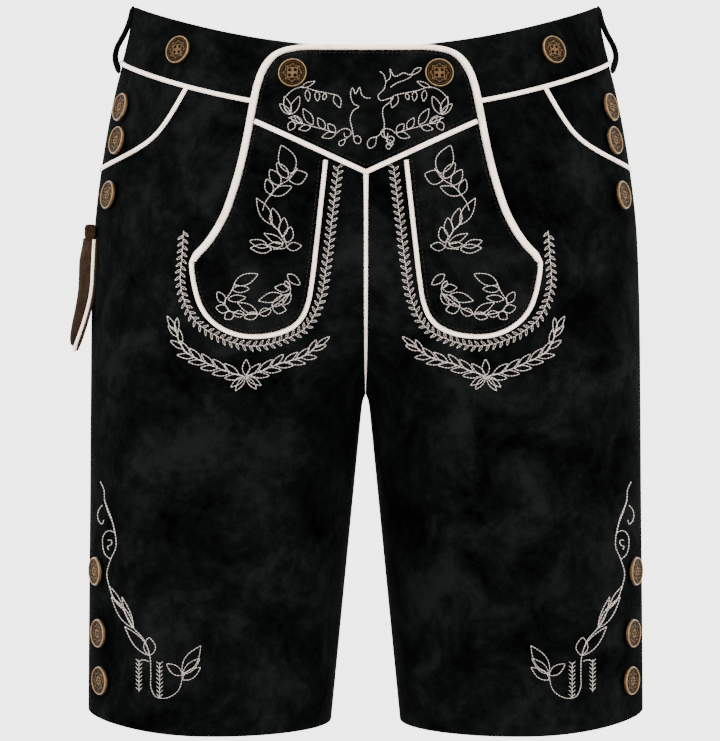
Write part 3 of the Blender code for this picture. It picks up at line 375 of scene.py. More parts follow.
def sweep(rings):
    """A closed tube through rings, (rings, points, 3). Each end is laced shut across its ring."""
    count, sides = rings.shape[:2]
    index = np.arange(count * sides).reshape(count, sides)
    after = np.roll(index, -1, axis=1)
    around = np.stack([index[:-1], after[:-1], after[1:], index[1:]], axis=-1).reshape(-1, 4)
    k = np.arange(sides // 2 - 1)
    lace = np.stack([k, k + 1, sides - 2 - k, sides - 1 - k], axis=-1)
    return rings.reshape(-1, 3), np.concatenate([around, index[0][lace[:, ::-1]], index[-1][lace]])


# %% [markdown]
# ## Colour and nodes
# Colours are picked as sRGB hex, as a colour picker shows them, but light adds up in linear
# values. One function does the turning. One more adds a shader node with its settings and
# links, so that each finish below reads as a short list.

# %% Colour and node helpers
def linear(colour):
    """Each channel c of #rrggbb becomes ((c + 0.055) / 1.055) to the power 2.4."""
    channels = [int(colour[k:k + 2], 16) / 255 for k in (1, 3, 5)]
    return (*[c / 12.92 if c <= 0.04045 else ((c + 0.055) / 1.055) ** 2.4 for c in channels], 1.0)


def add_node(tree, kind, inputs=None, stops=None, **settings):
    """Adds a node. inputs holds values or sockets to link, and stops a colour ramp's places."""
    made = tree.nodes.new(kind)
    for name, value in settings.items():
        setattr(made, name, value)
    for name, value in (inputs or {}).items():
        if isinstance(value, bpy.types.NodeSocket):
            tree.links.new(value, made.inputs[name])
        else:
            made.inputs[name].default_value = value
    for k, (place, colour) in enumerate(stops or []):
        stop = made.color_ramp.elements[k] if k < 2 else made.color_ramp.elements.new(place)
        stop.position, stop.color = place, linear(colour)
    return made


def new_finish(name, **sockets):
    """A named material, its node tree, its shader with constant sockets set, and Object places."""
    made = bpy.data.materials.new(name)
    made.use_nodes = True
    tree = made.node_tree
    shader = tree.nodes["Principled BSDF"]
    for socket, value in sockets.items():
        shader.inputs[socket.replace("_", " ")].default_value = value
    place = add_node(tree, "ShaderNodeTexCoord").outputs["Object"]
    return made, tree, shader, place


# %% [markdown]
# ## Black suede
# The cloth is goat suede, brushed on its flesh side. The nap of short fibres drinks light
# from most sides, so it is nearly black and has no highlight, and the way that the nap was
# last stroked leaves soft clouds some centimetres wide. Fibres stand about 0.3 mm apart,
# finer than a pixel here, so the grain is drawn at 1.3 mm.

# %% Black suede
suede, tree, shader, place = new_finish(
    "black_goat_suede", Roughness=0.98, Specular_IOR_Level=0.004,
    Sheen_Weight=0.002, Sheen_Roughness=0.45, Sheen_Tint=linear("#aab0b8"))
clouds = add_node(tree, "ShaderNodeTexNoise", {
    "Vector": place, "Scale": 1 / 0.046, "Detail": 5.0, "Roughness": 0.62, "Distortion": 0.6})
strokes = add_node(tree, "ShaderNodeTexNoise", {
    "Vector": place, "Scale": 1 / 0.0075, "Detail": 4.0, "Roughness": 0.65, "Distortion": 0.3})
grain = add_node(tree, "ShaderNodeTexNoise", {
    "Vector": place, "Scale": 1 / 0.0013, "Detail": 3.0, "Roughness": 0.7})
mixed = add_node(tree, "ShaderNodeMath", {
    0: strokes.outputs["Fac"], 1: 0.38, 2: clouds.outputs["Fac"]}, operation="MULTIPLY_ADD")
mixed = add_node(tree, "ShaderNodeMath", {
    0: grain.outputs["Fac"], 1: 0.20, 2: mixed.outputs[0]}, operation="MULTIPLY_ADD")
nap = add_node(tree, "ShaderNodeValToRGB", {"Fac": mixed.outputs[0]},
               stops=[(0.62, "#010101"), (0.98, "#0d0e0e"), (0.80, "#050606")])
tree.links.new(nap.outputs["Color"], shader.inputs["Base Color"])
relief = add_node(tree, "ShaderNodeBump", {
    "Height": strokes.outputs["Fac"], "Strength": 0.35, "Distance": 0.0010})
relief = add_node(tree, "ShaderNodeBump", {
    "Height": grain.outputs["Fac"], "Strength": 0.55, "Distance": 0.00035,
    "Normal": relief.outputs["Normal"]})
tree.links.new(relief.outputs["Normal"], shader.inputs["Normal"])
print("suede grain 1.3 mm, clouds 46 mm")

# %% [markdown]
# ## Cream leather
# The binding and the piping are thin, smooth sheep leather, drum dyed and folded double.
# Its pores are too fine to see at this distance, so a slow change of tone and a grain of
# 0.9 mm stand in for them. Handling has soiled it a little, in patches a few centimetres long.

# %% Cream leather
cream, tree, shader, place = new_finish(
    "cream_sheep_leather", Roughness=0.52, Specular_IOR_Level=0.42, Sheen_Weight=0.05)
soil = add_node(tree, "ShaderNodeTexNoise", {
    "Vector": place, "Scale": 1 / 0.024, "Detail": 6.0, "Roughness": 0.66})
tone = add_node(tree, "ShaderNodeValToRGB", {"Fac": soil.outputs["Fac"]},
                stops=[(0.28, "#bba798"), (0.72, "#ecdccf"), (0.46, "#dfcdbf")])
tree.links.new(tone.outputs["Color"], shader.inputs["Base Color"])
pores = add_node(tree, "ShaderNodeTexVoronoi", {"Vector": place, "Scale": 1 / 0.0009})
relief = add_node(tree, "ShaderNodeBump", {
    "Height": soil.outputs["Fac"], "Strength": 0.30, "Distance": 0.0012})
relief = add_node(tree, "ShaderNodeBump", {
    "Height": pores.outputs["Distance"], "Strength": 0.20, "Distance": 0.0002,
    "Normal": relief.outputs["Normal"]})
tree.links.new(relief.outputs["Normal"], shader.inputs["Normal"])

# %% [markdown]
# ## Brown leather
# The knife pocket is oiled cowhide. Its grain is coarser than the sheep's, it is darker where
# it is creased and lighter where a hand has rubbed it.

# %% Brown leather
brown, tree, shader, place = new_finish(
    "brown_oiled_leather", Roughness=0.85, Specular_IOR_Level=0.02)
wear = add_node(tree, "ShaderNodeTexNoise", {
    "Vector": place, "Scale": 1 / 0.011, "Detail": 6.0, "Roughness": 0.68})
tone = add_node(tree, "ShaderNodeValToRGB", {"Fac": wear.outputs["Fac"]},
                stops=[(0.30, "#120b07"), (0.74, "#2e1f15"), (0.50, "#1d130c")])
tree.links.new(tone.outputs["Color"], shader.inputs["Base Color"])
grain = add_node(tree, "ShaderNodeTexVoronoi", {"Vector": place, "Scale": 1 / 0.0014})
relief = add_node(tree, "ShaderNodeBump", {
    "Height": grain.outputs["Distance"], "Strength": 0.45, "Distance": 0.0003})
relief = add_node(tree, "ShaderNodeBump", {
    "Height": wear.outputs["Fac"], "Strength": 0.35, "Distance": 0.0008,
    "Normal": relief.outputs["Normal"]})
tree.links.new(relief.outputs["Normal"], shader.inputs["Normal"])

# %% [markdown]
# ## Thread
# The embroidery is rayon machine thread, off-white with a breath of pink, 0.4 mm thick and
# doubled. It has a little gloss along each stitch. The binding is sewn on with waxed
# dark brown thread, which hardly shows on black.

# %% Thread
rayon, tree, shader, place = new_finish(
    "off_white_rayon_thread", Roughness=0.45, Specular_IOR_Level=0.45, Sheen_Weight=0.2)
shade = add_node(tree, "ShaderNodeTexNoise", {
    "Vector": place, "Scale": 1 / 0.0021, "Detail": 2.0, "Roughness": 0.6})
tone = add_node(tree, "ShaderNodeValToRGB", {"Fac": shade.outputs["Fac"]},
                stops=[(0.30, "#7a706a"), (0.70, "#b8aea7")])
tree.links.new(tone.outputs["Color"], shader.inputs["Base Color"])

waxed, tree, shader, place = new_finish(
    "brown_waxed_thread", Roughness=0.70, Specular_IOR_Level=0.10)
shade = add_node(tree, "ShaderNodeTexNoise", {"Vector": place, "Scale": 1 / 0.0030})
tone = add_node(tree, "ShaderNodeValToRGB", {"Fac": shade.outputs["Fac"]},
                stops=[(0.35, "#0c0806"), (0.65, "#1a120d")])
tree.links.new(tone.outputs["Color"], shader.inputs["Base Color"])

# %% [markdown]
# ## Aged brass
# The buttons are pressed brass, dipped dark and then tumbled, so the dark stays in the
# hollows of the ornament and the high places are rubbed bright. Each button carries that
# as an attribute called relief, from 0 in a hollow to 1 on a rim, and the finish reads it.

# %% Aged brass
brass, tree, shader, place = new_finish("aged_pressed_brass", Metallic=1.0)
relief_height = add_node(tree, "ShaderNodeAttribute", attribute_name="relief")
tarnish = add_node(tree, "ShaderNodeTexNoise", {
    "Vector": place, "Scale": 1 / 0.0028, "Detail": 5.0, "Roughness": 0.65})
raised = add_node(tree, "ShaderNodeMath", {
    0: relief_height.outputs["Fac"], 1: 0.58}, operation="MULTIPLY")
worn_off = add_node(tree, "ShaderNodeMath", {
    0: tarnish.outputs["Fac"], 1: 0.42, 2: raised.outputs[0]}, operation="MULTIPLY_ADD")
tone = add_node(tree, "ShaderNodeValToRGB", {"Fac": worn_off.outputs[0]},
                stops=[(0.14, "#0c0805"), (0.92, "#8a7453"), (0.38, "#281d13"), (0.66, "#54402b")])
tree.links.new(tone.outputs["Color"], shader.inputs["Base Color"])
polish = add_node(tree, "ShaderNodeMapRange", {
    "Value": worn_off.outputs[0],
    "From Min": 0.15, "From Max": 0.9, "To Min": 0.58, "To Max": 0.30})
tree.links.new(polish.outputs["Result"], shader.inputs["Roughness"])

# %% [markdown]
# ## The cut edges
# A piece of thick suede has a rounded edge where it is turned in at a seam. The grids crowd
# their lines near the edges and let the outer face fall there along a quarter circle, so a
# seam shows as a soft valley and not as a slot. The hem and the band's top are rounded more.

# %% Rounded edges
WALL, BAND_WALL, FLAP_WALL = 0.0020, 0.0030, 0.0020
BAND_PROUD = 0.0006
FLAP_LIFT = BAND_PROUD + SEAM_GAP
EDGE_STEPS = np.array([0.0, 0.12, 0.35, 0.65, 1.0, 1.6])


def crowded(count, edge):
    """count even shares from 0 to 1, with EDGE_STEPS times edge added at both ends."""
    near = EDGE_STEPS * edge
    inside = np.linspace(near[-1], 1 - near[-1], count)
    return np.concatenate([near[:-1], inside, 1 - near[-2::-1]])


def rounding(distance, radius):
    """How far a rounded edge has fallen: radius less the circle's height at that distance."""
    t = np.clip(1 - distance / radius, 0, 1)
    return radius * (1 - np.sqrt(1 - t * t))


def grid_run(points, axis):
    """How far each point of a grid is along its row or column: its steps added up."""
    steps = np.linalg.norm(np.diff(points, axis=axis), axis=2)
    return np.cumsum(np.pad(steps, [(1 - k, 0) for k in (axis, 1 - axis)]), axis=axis)


def cloth_piece(name, u, height, low, high, half, radii, node):
    """A wall on the form over grids of u and height. radii are the edge roundings at the top,
    bottom, start and end; lengths along the grid give the distances to the edges."""
    flat = lifted(u, height, np.zeros(u.shape), half)
    down, across = grid_run(flat, 0), grid_run(flat, 1)
    fall = np.maximum.reduce([
        rounding(down, radii[0]), rounding(down[-1:] - down, radii[1]),
        rounding(across, radii[2]), rounding(across[:, -1:] - across, radii[3])])
    lift = np.broadcast_to(high, u.shape) - np.minimum(fall, (high - low) * 0.95)
    outer = lifted(u, height, lift, half)
    inner = lifted(u, height, np.broadcast_to(low, u.shape), half)
    declare(make_piece(name, *wall(outer, inner), suede, [node], "black_suede"), outer)


def declare(piece, outer):
    width = np.linalg.norm(np.diff(outer, axis=1), axis=2).sum(axis=1).max()
    length = np.linalg.norm(np.diff(outer, axis=0), axis=2).sum(axis=0).max()
    a, b = outer[1:, 1:] - outer[:-1, :-1], outer[1:, :-1] - outer[:-1, 1:]
    area = np.linalg.norm(np.cross(a, b), axis=2).sum() / 2
    area = float(np.clip(area, 0.31 * width * length, width * length))
    print(f"{piece.name}: cut from {width * 1000:.0f} x {length * 1000:.0f} mm")


def dip(u, front, back):
    """An edge hangs below its side height by the cosine of the way to the side, to the power
    1.4 in front and 2 behind."""
    turn = np.maximum(np.cos(np.minimum(u, 2 - u) * math.pi / 2), 0.0)
    return np.where(u <= 1, front * turn**1.4, back * turn**2)


def top_height(u):
    return WAIST_TOP - dip(u, 0.0405, 0.0220)


def seam_height(u):
    return WAIST_SEAM - dip(u, 0.0454, 0.0230)


def hem_height(u):
    """Lower by 9.6 mm in front of the leg, and by 9.3 mm more at the inseam: a squared sine and
    a squared cosine of the way round."""
    leg = np.sin(np.clip(u, 0, 1) * math.pi) ** 2
    inner = np.clip(np.minimum(u, 2 - u) / 0.52, 0, 1)
    return HEM - 0.0096 * leg - 0.0093 * np.cos(inner * math.pi / 2) ** 2


# %% [markdown]
# ## The leg panels
# Each leg is a front and a back panel, sewn at the side and inside the leg. A front panel is
# cut away at the top in a curve for the pocket. The curve is a short table of places, and
# the panel's rows simply start from it instead of from the waist seam. Rows and columns
# then follow the cut, as the real cloth's edges do.

# %% Front panels
PocketPoint = namedtuple("PocketPoint", "u height")
POCKET_EDGE = (
    PocketPoint(0.536, -0.0434),
    PocketPoint(0.542, -0.0464),
    PocketPoint(0.553, -0.0519),
    PocketPoint(0.5675, -0.0586),
    PocketPoint(0.584, -0.0653),
    PocketPoint(0.605, -0.0720),
    PocketPoint(0.637, -0.0784),
    PocketPoint(0.675, -0.0829),
    PocketPoint(0.716, -0.0863),
    PocketPoint(0.766, -0.0892),
    PocketPoint(0.830, -0.0918),
    PocketPoint(0.890, -0.0932),
    PocketPoint(0.950, -0.0940),
)
EDGE_RADIUS = 0.0011
SIDE_CLEAR = 0.0001
INSEAM_CLEAR = 0.0001


def pocket_height(u):
    """The pocket's edge where the u is past its start, and the waist seam before it."""
    places = np.array(POCKET_EDGE)
    curve = smooth_curve(u, places[:, 0], places[:, 1])
    return np.where(u < POCKET_EDGE[0].u, seam_height(u), np.minimum(curve, seam_height(u)))


def panel_grid(start, end, top, columns, rows):
    """Grids from a top line to the hem."""
    u = np.broadcast_to(start + (end - start) * columns, (len(rows), len(columns)))
    height = top(u) + (hem_height(u) - top(u)) * rows[:, None]
    return u, height


def clear_of_inseam(u, height):
    """Moves the first and last shares off the inseam below the crotch, as the seam's edges lie."""
    below = np.clip((CROTCH - height) / 0.004, 0, 1) * INSEAM_CLEAR
    return np.clip(u, below, 2 - below)


front_columns = crowded(240, 0.004)
rows = crowded(280, 0.003)
for half, side in SIDES:
    u, height = panel_grid(0.0, SIDE_U - SIDE_CLEAR, pocket_height, front_columns, rows)
    cloth_piece(
        f"front_{side}", clear_of_inseam(u, height), height, -WALL, 0.0, half,
        (0.0009, 0.0016, EDGE_RADIUS, EDGE_RADIUS), f"front_panel_{side}")

# %% [markdown]
# The back panels are whole: no pocket is cut into them. Their hem is turned in like the
# front's.

# %% Back panels
for half, side in SIDES:
    u, height = panel_grid(SIDE_U + SIDE_CLEAR, 2.0, seam_height, crowded(240, 0.004), rows)
    cloth_piece(f"back_{side}", clear_of_inseam(u, height), height, -WALL, 0.0, half,
                (0.0009, 0.0016, EDGE_RADIUS, EDGE_RADIUS), f"back_panel_{side}")

# %% [markdown]
# ## The pocket facings
# What shows above the curved edge is the facing of the pocket's inner side. It is sewn into
# the waist and the side seam and lies a hair deeper than the front, whose bound edge
# runs over it.

# %% Pocket facings
FACING_DEEPER = 0.0004
for half, side in SIDES:
    start, end = POCKET_EDGE[0].u + 0.0015, SIDE_U - SIDE_CLEAR
    columns, down = start + (end - start) * crowded(90, 0.010), crowded(36, 0.02)
    u = np.broadcast_to(columns, (len(down), len(columns)))
    bottom = np.minimum(pocket_height(u) + SEAM_GAP, seam_height(u) - 0.0012)
    height = seam_height(u) + (bottom - seam_height(u)) * down[:, None]
    cloth_piece(f"facing_{side}", u, height, -WALL - FACING_DEEPER, -FACING_DEEPER, half,
                (0.0007, 0.0005, 0.0005, EDGE_RADIUS), f"pocket_facing_{side}")

# %% [markdown]
# ## The waistband
# The band is a separate cut of suede on a stiff backing, so it stands 0.6 mm proud of the
# panels and is 3 mm thick. Its top edge is a fold, round through its whole thickness. The
# back is one piece from side seam to side seam, made as two mirrored halves in one grid.

# %% Waistband
def band_grid(start, end, count):
    """Grids over the band, from its top edge down to the waist seam."""
    columns, rise = start + (end - start) * crowded(count, 0.006), crowded(30, 0.05)
    u = np.broadcast_to(columns, (len(rise), len(columns)))
    return u, top_height(u) + (seam_height(u) + SEAM_GAP - top_height(u)) * rise[:, None]


for half, side in SIDES:
    u, height = band_grid(0.0, SIDE_U - SIDE_CLEAR, 150)
    cloth_piece(f"band_front_{side}", u, height, BAND_PROUD - BAND_WALL, BAND_PROUD, half,
                (0.0016, 0.0008, 0.0003, 0.0010), f"waistband_front_{side}")

u, height = band_grid(SIDE_U + SIDE_CLEAR, 2.0, 150)
grids = []
for lift, radius in ((BAND_PROUD, 0.0016), (BAND_PROUD - BAND_WALL, 0.0)):
    one = lifted(u, height, np.full(u.shape, lift), 1)
    down = grid_run(one, 0)
    if radius:
        fall = np.maximum(rounding(down, radius), rounding(down[-1:] - down, 0.0008))
        one = lifted(u, height, lift - fall, 1)
    one[:, -1, 0] = 0.0
    grids.append(np.concatenate([one, one[:, -2::-1] * np.array([-1.0, 1.0, 1.0])], axis=1))
band = make_piece("band_back", *wall(*grids), suede, ["waistband_back"], "black_suede")
declare(band, grids[0])

# %% [markdown]
# ## The drop front
# The flap that closes the front is three cuts of suede: a top panel, and two rounded lobes
# below a seam in a V. Their outlines are drawn flat, as a pattern maker draws them, in
# places measured from the middle and in height. A patch fills such an outline with rings that
# shrink to its middle, so its outermost rings can be rounded like the other edges.

# %% The drop front's lines
Corner = namedtuple("Corner", "across height")
FLAP_TOP = -0.0163
FLAP_SIDE = (
    Corner(0.0000, FLAP_TOP),
    Corner(0.0240, FLAP_TOP),
    Corner(0.0480, -0.0168),
    Corner(0.0565, -0.0185),
    Corner(0.0620, -0.0210),
    Corner(0.0672, -0.0255),
    Corner(0.0722, -0.0335),
    Corner(0.0755, -0.0431),
    Corner(0.0789, -0.0595),
    Corner(0.0821, -0.0773),
    Corner(0.0865, -0.0976),
    Corner(0.0911, -0.1139),
    Corner(0.0969, -0.1300),
    Corner(0.1044, -0.1435),
    Corner(0.1105, -0.1515),
    Corner(0.1156, -0.1568),
    Corner(0.1187, -0.1632),
)
LOBE_EDGE = (
    Corner(0.1188, -0.1635),
    Corner(0.1183, -0.1700),
    Corner(0.1172, -0.1770),
    Corner(0.1154, -0.1851),
    Corner(0.1126, -0.1932),
    Corner(0.1074, -0.2013),
    Corner(0.0980, -0.2090),
    Corner(0.0845, -0.2140),
    Corner(0.0715, -0.2145),
    Corner(0.0580, -0.2119),
    Corner(0.0472, -0.2063),
    Corner(0.0416, -0.1999),
    Corner(0.0373, -0.1892),
    Corner(0.0348, -0.1758),
    Corner(0.0315, -0.1491),
    Corner(0.0285, -0.1222),
    Corner(0.0256, -0.0953),
)
VEE_TIP, VEE_END = Corner(0.0000, -0.1032), Corner(0.0755, -0.0682)
FLAP_BINDING, FLAP_BINDING_TOP, FLAP_BINDING_TURN = 0.0050, 0.0038, 0.0100
LOBE_BINDING, VEE_PIPING = 0.0032, 0.0033
LINE_STEP = 0.0015


def smooth_line(points, spacing=LINE_STEP):
    """A curve through flat corner points, read at even steps of its length."""
    corners = np.array(points, float)
    span = np.linalg.norm(np.diff(corners, axis=0), axis=1)
    at = np.concatenate([[0], np.cumsum(span)])
    read = np.linspace(0, at[-1], max(3, int(round(at[-1] / spacing)) + 1))
    return np.stack([smooth_curve(read, at, corners[:, k]) for k in (0, 1)], axis=1)


def moved_in(line, distance):
    """A flat line moved sideways, to the right of the way that it runs."""
    tangent = unit(np.gradient(line, axis=0))
    distance = np.asarray(distance, float).reshape(-1, 1)
    return line + distance * np.stack([tangent[:, 1], -tangent[:, 0]], axis=1)


def binding_width(line):
    """3.8 mm along the flap's top, growing to 5.0 mm over the first centimetre down its side."""
    down = np.clip((FLAP_TOP - line[:, 1]) / FLAP_BINDING_TURN, 0, 1)
    return FLAP_BINDING_TOP + (FLAP_BINDING - FLAP_BINDING_TOP) * down


def vee_height(across):
    slope = (VEE_END.height - VEE_TIP.height) / VEE_END.across
    return VEE_TIP.height + slope * np.abs(across)


def vee_crossing(line, offset):
    """Where a line down one side crosses the V seam moved up by offset, and the next point."""
    over = line[:, 1] - vee_height(line[:, 0]) - offset
    last = int(np.argmax(over < 0))
    share = over[last - 1] / (over[last - 1] - over[last])
    return line[last - 1] + share * (line[last] - line[last - 1]), last


flap_line, lobe_line = smooth_line(FLAP_SIDE), smooth_line(LOBE_EDGE)
cloth_line = moved_in(flap_line, binding_width(flap_line) + SEAM_GAP)
cloth_line[0, 0] = 0.0
print(f"half the flap's edge is {len(flap_line) * LINE_STEP * 1000:.0f} mm")

# %% Flap cloth
PATCH_RADIUS = 0.0010


def patch(name, outline, middle, node):
    """A cloth wall inside a flat outline: each ring is the outline drawn in towards the middle,
    first by millimetres and then by even shares, and a fan closes the last ring."""
    reach = np.linalg.norm(outline - middle, axis=1)[:, None]
    near = 1 - EDGE_STEPS[:, None, None] * PATCH_RADIUS / reach
    even = near[-1] * np.linspace(1, 0.04, 34)[1:, None, None]
    flat = middle + np.concatenate([near, even]) * (outline - middle)
    rings, around = flat.shape[:2]
    fall = np.zeros(rings)
    fall[:len(EDGE_STEPS)] = rounding(EDGE_STEPS * PATCH_RADIUS, PATCH_RADIUS * 0.9)
    high = FLAP_LIFT + FLAP_WALL - fall[:, None]
    flat = np.concatenate([flat.reshape(-1, 2), [middle]])
    lifts = np.append(np.broadcast_to(high, (rings, around)).ravel(), high[-1])
    top = from_front(flat[:, 0], flat[:, 1], lifts)[0]
    under = from_front(flat[:, 0], flat[:, 1], FLAP_LIFT)[0]
    index = np.arange(rings * around).reshape(rings, around)
    after = np.roll(index, -1, axis=1)
    quads = np.stack([index[:-1], after[:-1], after[1:], index[1:]], axis=-1).reshape(-1, 4)
    count = len(flat)
    fan = np.stack([index[-1], after[-1], np.full(around, count - 1)], axis=-1)
    rim = np.stack([index[0], index[0] + count, after[0] + count, after[0]], axis=-1)
    quads = np.concatenate([quads, quads[:, ::-1] + count, rim])
    fans = np.concatenate([fan, fan[:, ::-1] + count])
    piece = make_piece(name, np.concatenate([top, under]), [quads, fans], suede, [node],
                       "black_suede")


MIRROR = np.array([-1.0, 1.0])
corner, last = vee_crossing(cloth_line, SEAM_GAP)
low_edge = [(x, vee_height(x) + SEAM_GAP) for x in np.linspace(corner[0], 0, 50)]
right = np.concatenate([cloth_line[:last], low_edge])
patch("flap_top_cloth", np.concatenate([right, right[-2:0:-1] * MIRROR]),
      np.array([0.0, -0.055]), "flap_top")

corner, last = vee_crossing(cloth_line, -SEAM_GAP)
outer = cloth_line[last:]
outer = outer[outer[:, 1] > LOBE_EDGE[0].height + 0.003]
inner = moved_in(lobe_line, LOBE_BINDING + SEAM_GAP)
inner = inner[inner[:, 1] < vee_height(inner[:, 0]) - SEAM_GAP][2:]
top_edge = np.linspace(inner[-1, 0], corner[0], 40)[1:]
top_edge = np.stack([top_edge, vee_height(top_edge) - SEAM_GAP], axis=1)
lobe_outline = np.concatenate([outer, inner, top_edge])
patch("lobe_cloth_left", lobe_outline, np.array([0.064, -0.150]), "flap_lobe_left")
patch("lobe_cloth_right", lobe_outline * MIRROR, np.array([-0.064, -0.150]), "flap_lobe_right")

# %% [markdown]
# ## Bindings and piping
# The flap's edge is bound in a folded strip of cream leather, and the seams are piped in
# narrower ones. A strip of leather over an edge bulges a little, so its section is a flattened
# arch. The strip is that arch carried along the edge. Its height and width waver by a tenth
# of a millimetre along the way, as hand-fed leather does.

# %% Strips
ARCH = np.linspace(-1, 1, 12)
ARCH = np.sign(ARCH) * (1 - (1 - np.abs(ARCH)) ** 1.5)
ARCH_HEIGHT = (1 - np.abs(ARCH) ** 3.0) ** 0.55


def waver(run, size):
    """Three sines of unequal length along the strip, added up."""
    return size * (np.sin(run / 0.0047) + np.sin(run / 0.0113 + 1) + np.sin(run / 0.0291 + 2)) / 3


def run_length(points):
    return np.concatenate([[0], np.cumsum(np.linalg.norm(np.diff(points, axis=0), axis=1))])


def flat_strip(name, outer, inner, low, high, node):
    """The arch between two flat edge lines: across is shared between them, and lift rises from
    low to high by the arch's height."""
    run = run_length(outer)[:, None]
    share = (ARCH + 1) / 2 + waver(run, 0.012) * (1 - ARCH**2)
    line = outer[:, None, :] + (inner - outer)[:, None, :] * share[..., None]
    lift = low + (high - low + waver(run, 0.00009)) * ARCH_HEIGHT
    rings = from_front(line[..., 0], line[..., 1], lift)[0]
    make_piece(name, *sweep(rings), cream, [node], "cream_leather", sharp=70)


def piping(name, centre, normal, width, low, high, node):
    """The arch across a line of points with normals; width, low and high may change along it."""
    across = unit(np.cross(unit(np.gradient(centre, axis=0)), normal))
    run = run_length(centre)[:, None]
    half = (np.broadcast_to(width, len(centre))[:, None] + waver(run, 0.00008)) / 2
    low = np.broadcast_to(low, len(centre))[:, None]
    high = np.broadcast_to(high, len(centre))[:, None] + waver(run, 0.00006)
    out = half * ARCH
    rise = low + (high - low) * ARCH_HEIGHT
    rings = centre[:, None] + across[:, None] * out[..., None] + normal[:, None] * rise[..., None]
    make_piece(name, *sweep(rings), cream, [node], "cream_leather", sharp=70)


# %% Bindings of the drop front
BINDING_HIGH, LOBE_BINDING_HIGH = 0.0027, 0.0023
inner = moved_in(flap_line, binding_width(flap_line))
inner[0, 0] = 0.0
inner[-5:] = inner[-6] + (inner[-6] - inner[-7]) * np.arange(1, 6)[:, None]
inner[:, 1] = np.maximum(inner[:, 1], flap_line[-1, 1])
outer, inner = (np.concatenate([line[:0:-1] * MIRROR, line]) for line in (flap_line, inner))
flat_strip("binding_flap", outer, inner, FLAP_LIFT, FLAP_LIFT + BINDING_HIGH, "flap_binding")

for half, side in SIDES:
    outer, inner = lobe_line.copy(), moved_in(lobe_line, LOBE_BINDING)
    inner[0, 1] = outer[0, 1]
    for line in (outer, inner):
        limit = vee_height(line[:, 0]) - VEE_PIPING / 2 + 0.0002
        line[:, 1] = np.where(line[:, 1] > -0.12, np.minimum(line[:, 1], limit), line[:, 1])
    flip = np.array([half, 1.0])
    flat_strip(f"binding_lobe_{side}", outer * flip, inner * flip, FLAP_LIFT,
               FLAP_LIFT + LOBE_BINDING_HIGH, f"lobe_binding_{side}")

# %% Piping over the seams
PIPING_HIGH, SEAM_PIPING, CENTRE_PIPING = 0.0015, 0.0031, 0.0026
crossing, _ = vee_crossing(cloth_line, -VEE_PIPING / 2)
xs = np.linspace(-1, 1, 121) * (crossing[0] - 4 * SEAM_GAP)
centre, normal = from_front(xs, vee_height(xs))
low = FLAP_LIFT + FLAP_WALL + SEAM_GAP
piping("piping_vee", centre, normal, VEE_PIPING, low, low + 0.0011, "vee_piping")

share = np.linspace(0, 1, 90)
start = VEE_TIP.height - VEE_PIPING / 2 + SEAM_GAP
height = start + (-0.2400 - start) * share
width = CENTRE_PIPING * (1 - 0.45 * share**6) + 0.0009 * np.exp((height - start) / 0.0080)
centre, normal = from_front(np.zeros(90), height)
slope = with_normals(front_turn(np.zeros(90), height), height, "front")[1]
groove = np.abs(slope[:, 0]) / np.hypot(slope[:, 1], slope[:, 2])
low = 1.5 * SEAM_GAP + groove * width * 0.6
piping("piping_centre", centre, normal, width, low, low + PIPING_HIGH * width / CENTRE_PIPING,
       "centre_piping")

for half, side in SIDES:
    flip = np.array([half, 1.0, 1.0])
    edge = flap_line[np.argsort(flap_line[:, 1])]
    meeting = float(seam_height(0.27))
    across = np.interp(meeting, edge[:, 1], edge[:, 0])
    line_u = np.linspace(0, SIDE_U - SIDE_CLEAR, 400)
    reach = np.abs(worn(line_u, seam_height(line_u))[0][:, 0])
    u = line_u[reach > across - 0.0012]
    centre, normal = worn(u, seam_height(u))
    piping(f"piping_waist_{side}", centre * flip, normal * flip, SEAM_PIPING,
           BAND_PROUD + SEAM_GAP, BAND_PROUD + SEAM_GAP + PIPING_HIGH, f"waist_piping_{side}")
    u = np.linspace(POCKET_EDGE[0].u, SIDE_U - SIDE_CLEAR, 160)
    height = pocket_height(u)
    clear = height < seam_height(u) - SEAM_PIPING / 4
    centre, normal = worn(u[clear], height[clear])
    piping(f"piping_pocket_{side}", centre * flip, normal * flip, SEAM_PIPING, SEAM_GAP,
           SEAM_GAP + PIPING_HIGH, f"pocket_piping_{side}")

u = np.linspace(SIDE_U + SIDE_CLEAR, 2.0, 200)
centre, normal = worn(u, seam_height(u))
centre[-1, 0], normal[-1, 0] = 0.0, 0.0
flip = np.array([-1.0, 1.0, 1.0])
centre = np.concatenate([centre, centre[-2::-1] * flip])
normal = np.concatenate([normal, normal[-2::-1] * flip])
piping("piping_waist_back", centre, normal, SEAM_PIPING, BAND_PROUD + SEAM_GAP,
       BAND_PROUD + SEAM_GAP + PIPING_HIGH, "waist_piping_back")
print("all seams piped")

# %% [markdown]
# ## One stitch, many times
# Embroidery is thread that dives in and out of the cloth: each stitch is a short, rounded
# bar. A texture of lines would lie flat and lose that sparkle, so every stitch is a mesh of
# 14 faces. All the stitches of one piece are worked out together: four rings of four points,
# in arrays with a place for the stitch, the ring and the point.

# %% Stitches
STITCH_RINGS = np.array([0.0, 0.2, 0.8, 1.0])
STITCH_SWELL = np.array([0.45, 1.0, 1.0, 0.45])
STITCH_SECTION = np.array([(-0.5, -0.25), (-0.3, 1.0), (0.3, 1.0), (0.5, -0.25)])


def cut_line(line, pitch, gap):
    """A flat line as stitches of about one pitch, each short of its neighbours by a gap."""
    run = run_length(line)
    ends = np.linspace(0, run[-1], max(1, round(run[-1] / pitch)) + 1)
    places = np.stack([ends[:-1] + gap / 2, ends[1:] - gap / 2])
    return np.stack([np.interp(places, run, line[:, k]) for k in (0, 1)], axis=-1)


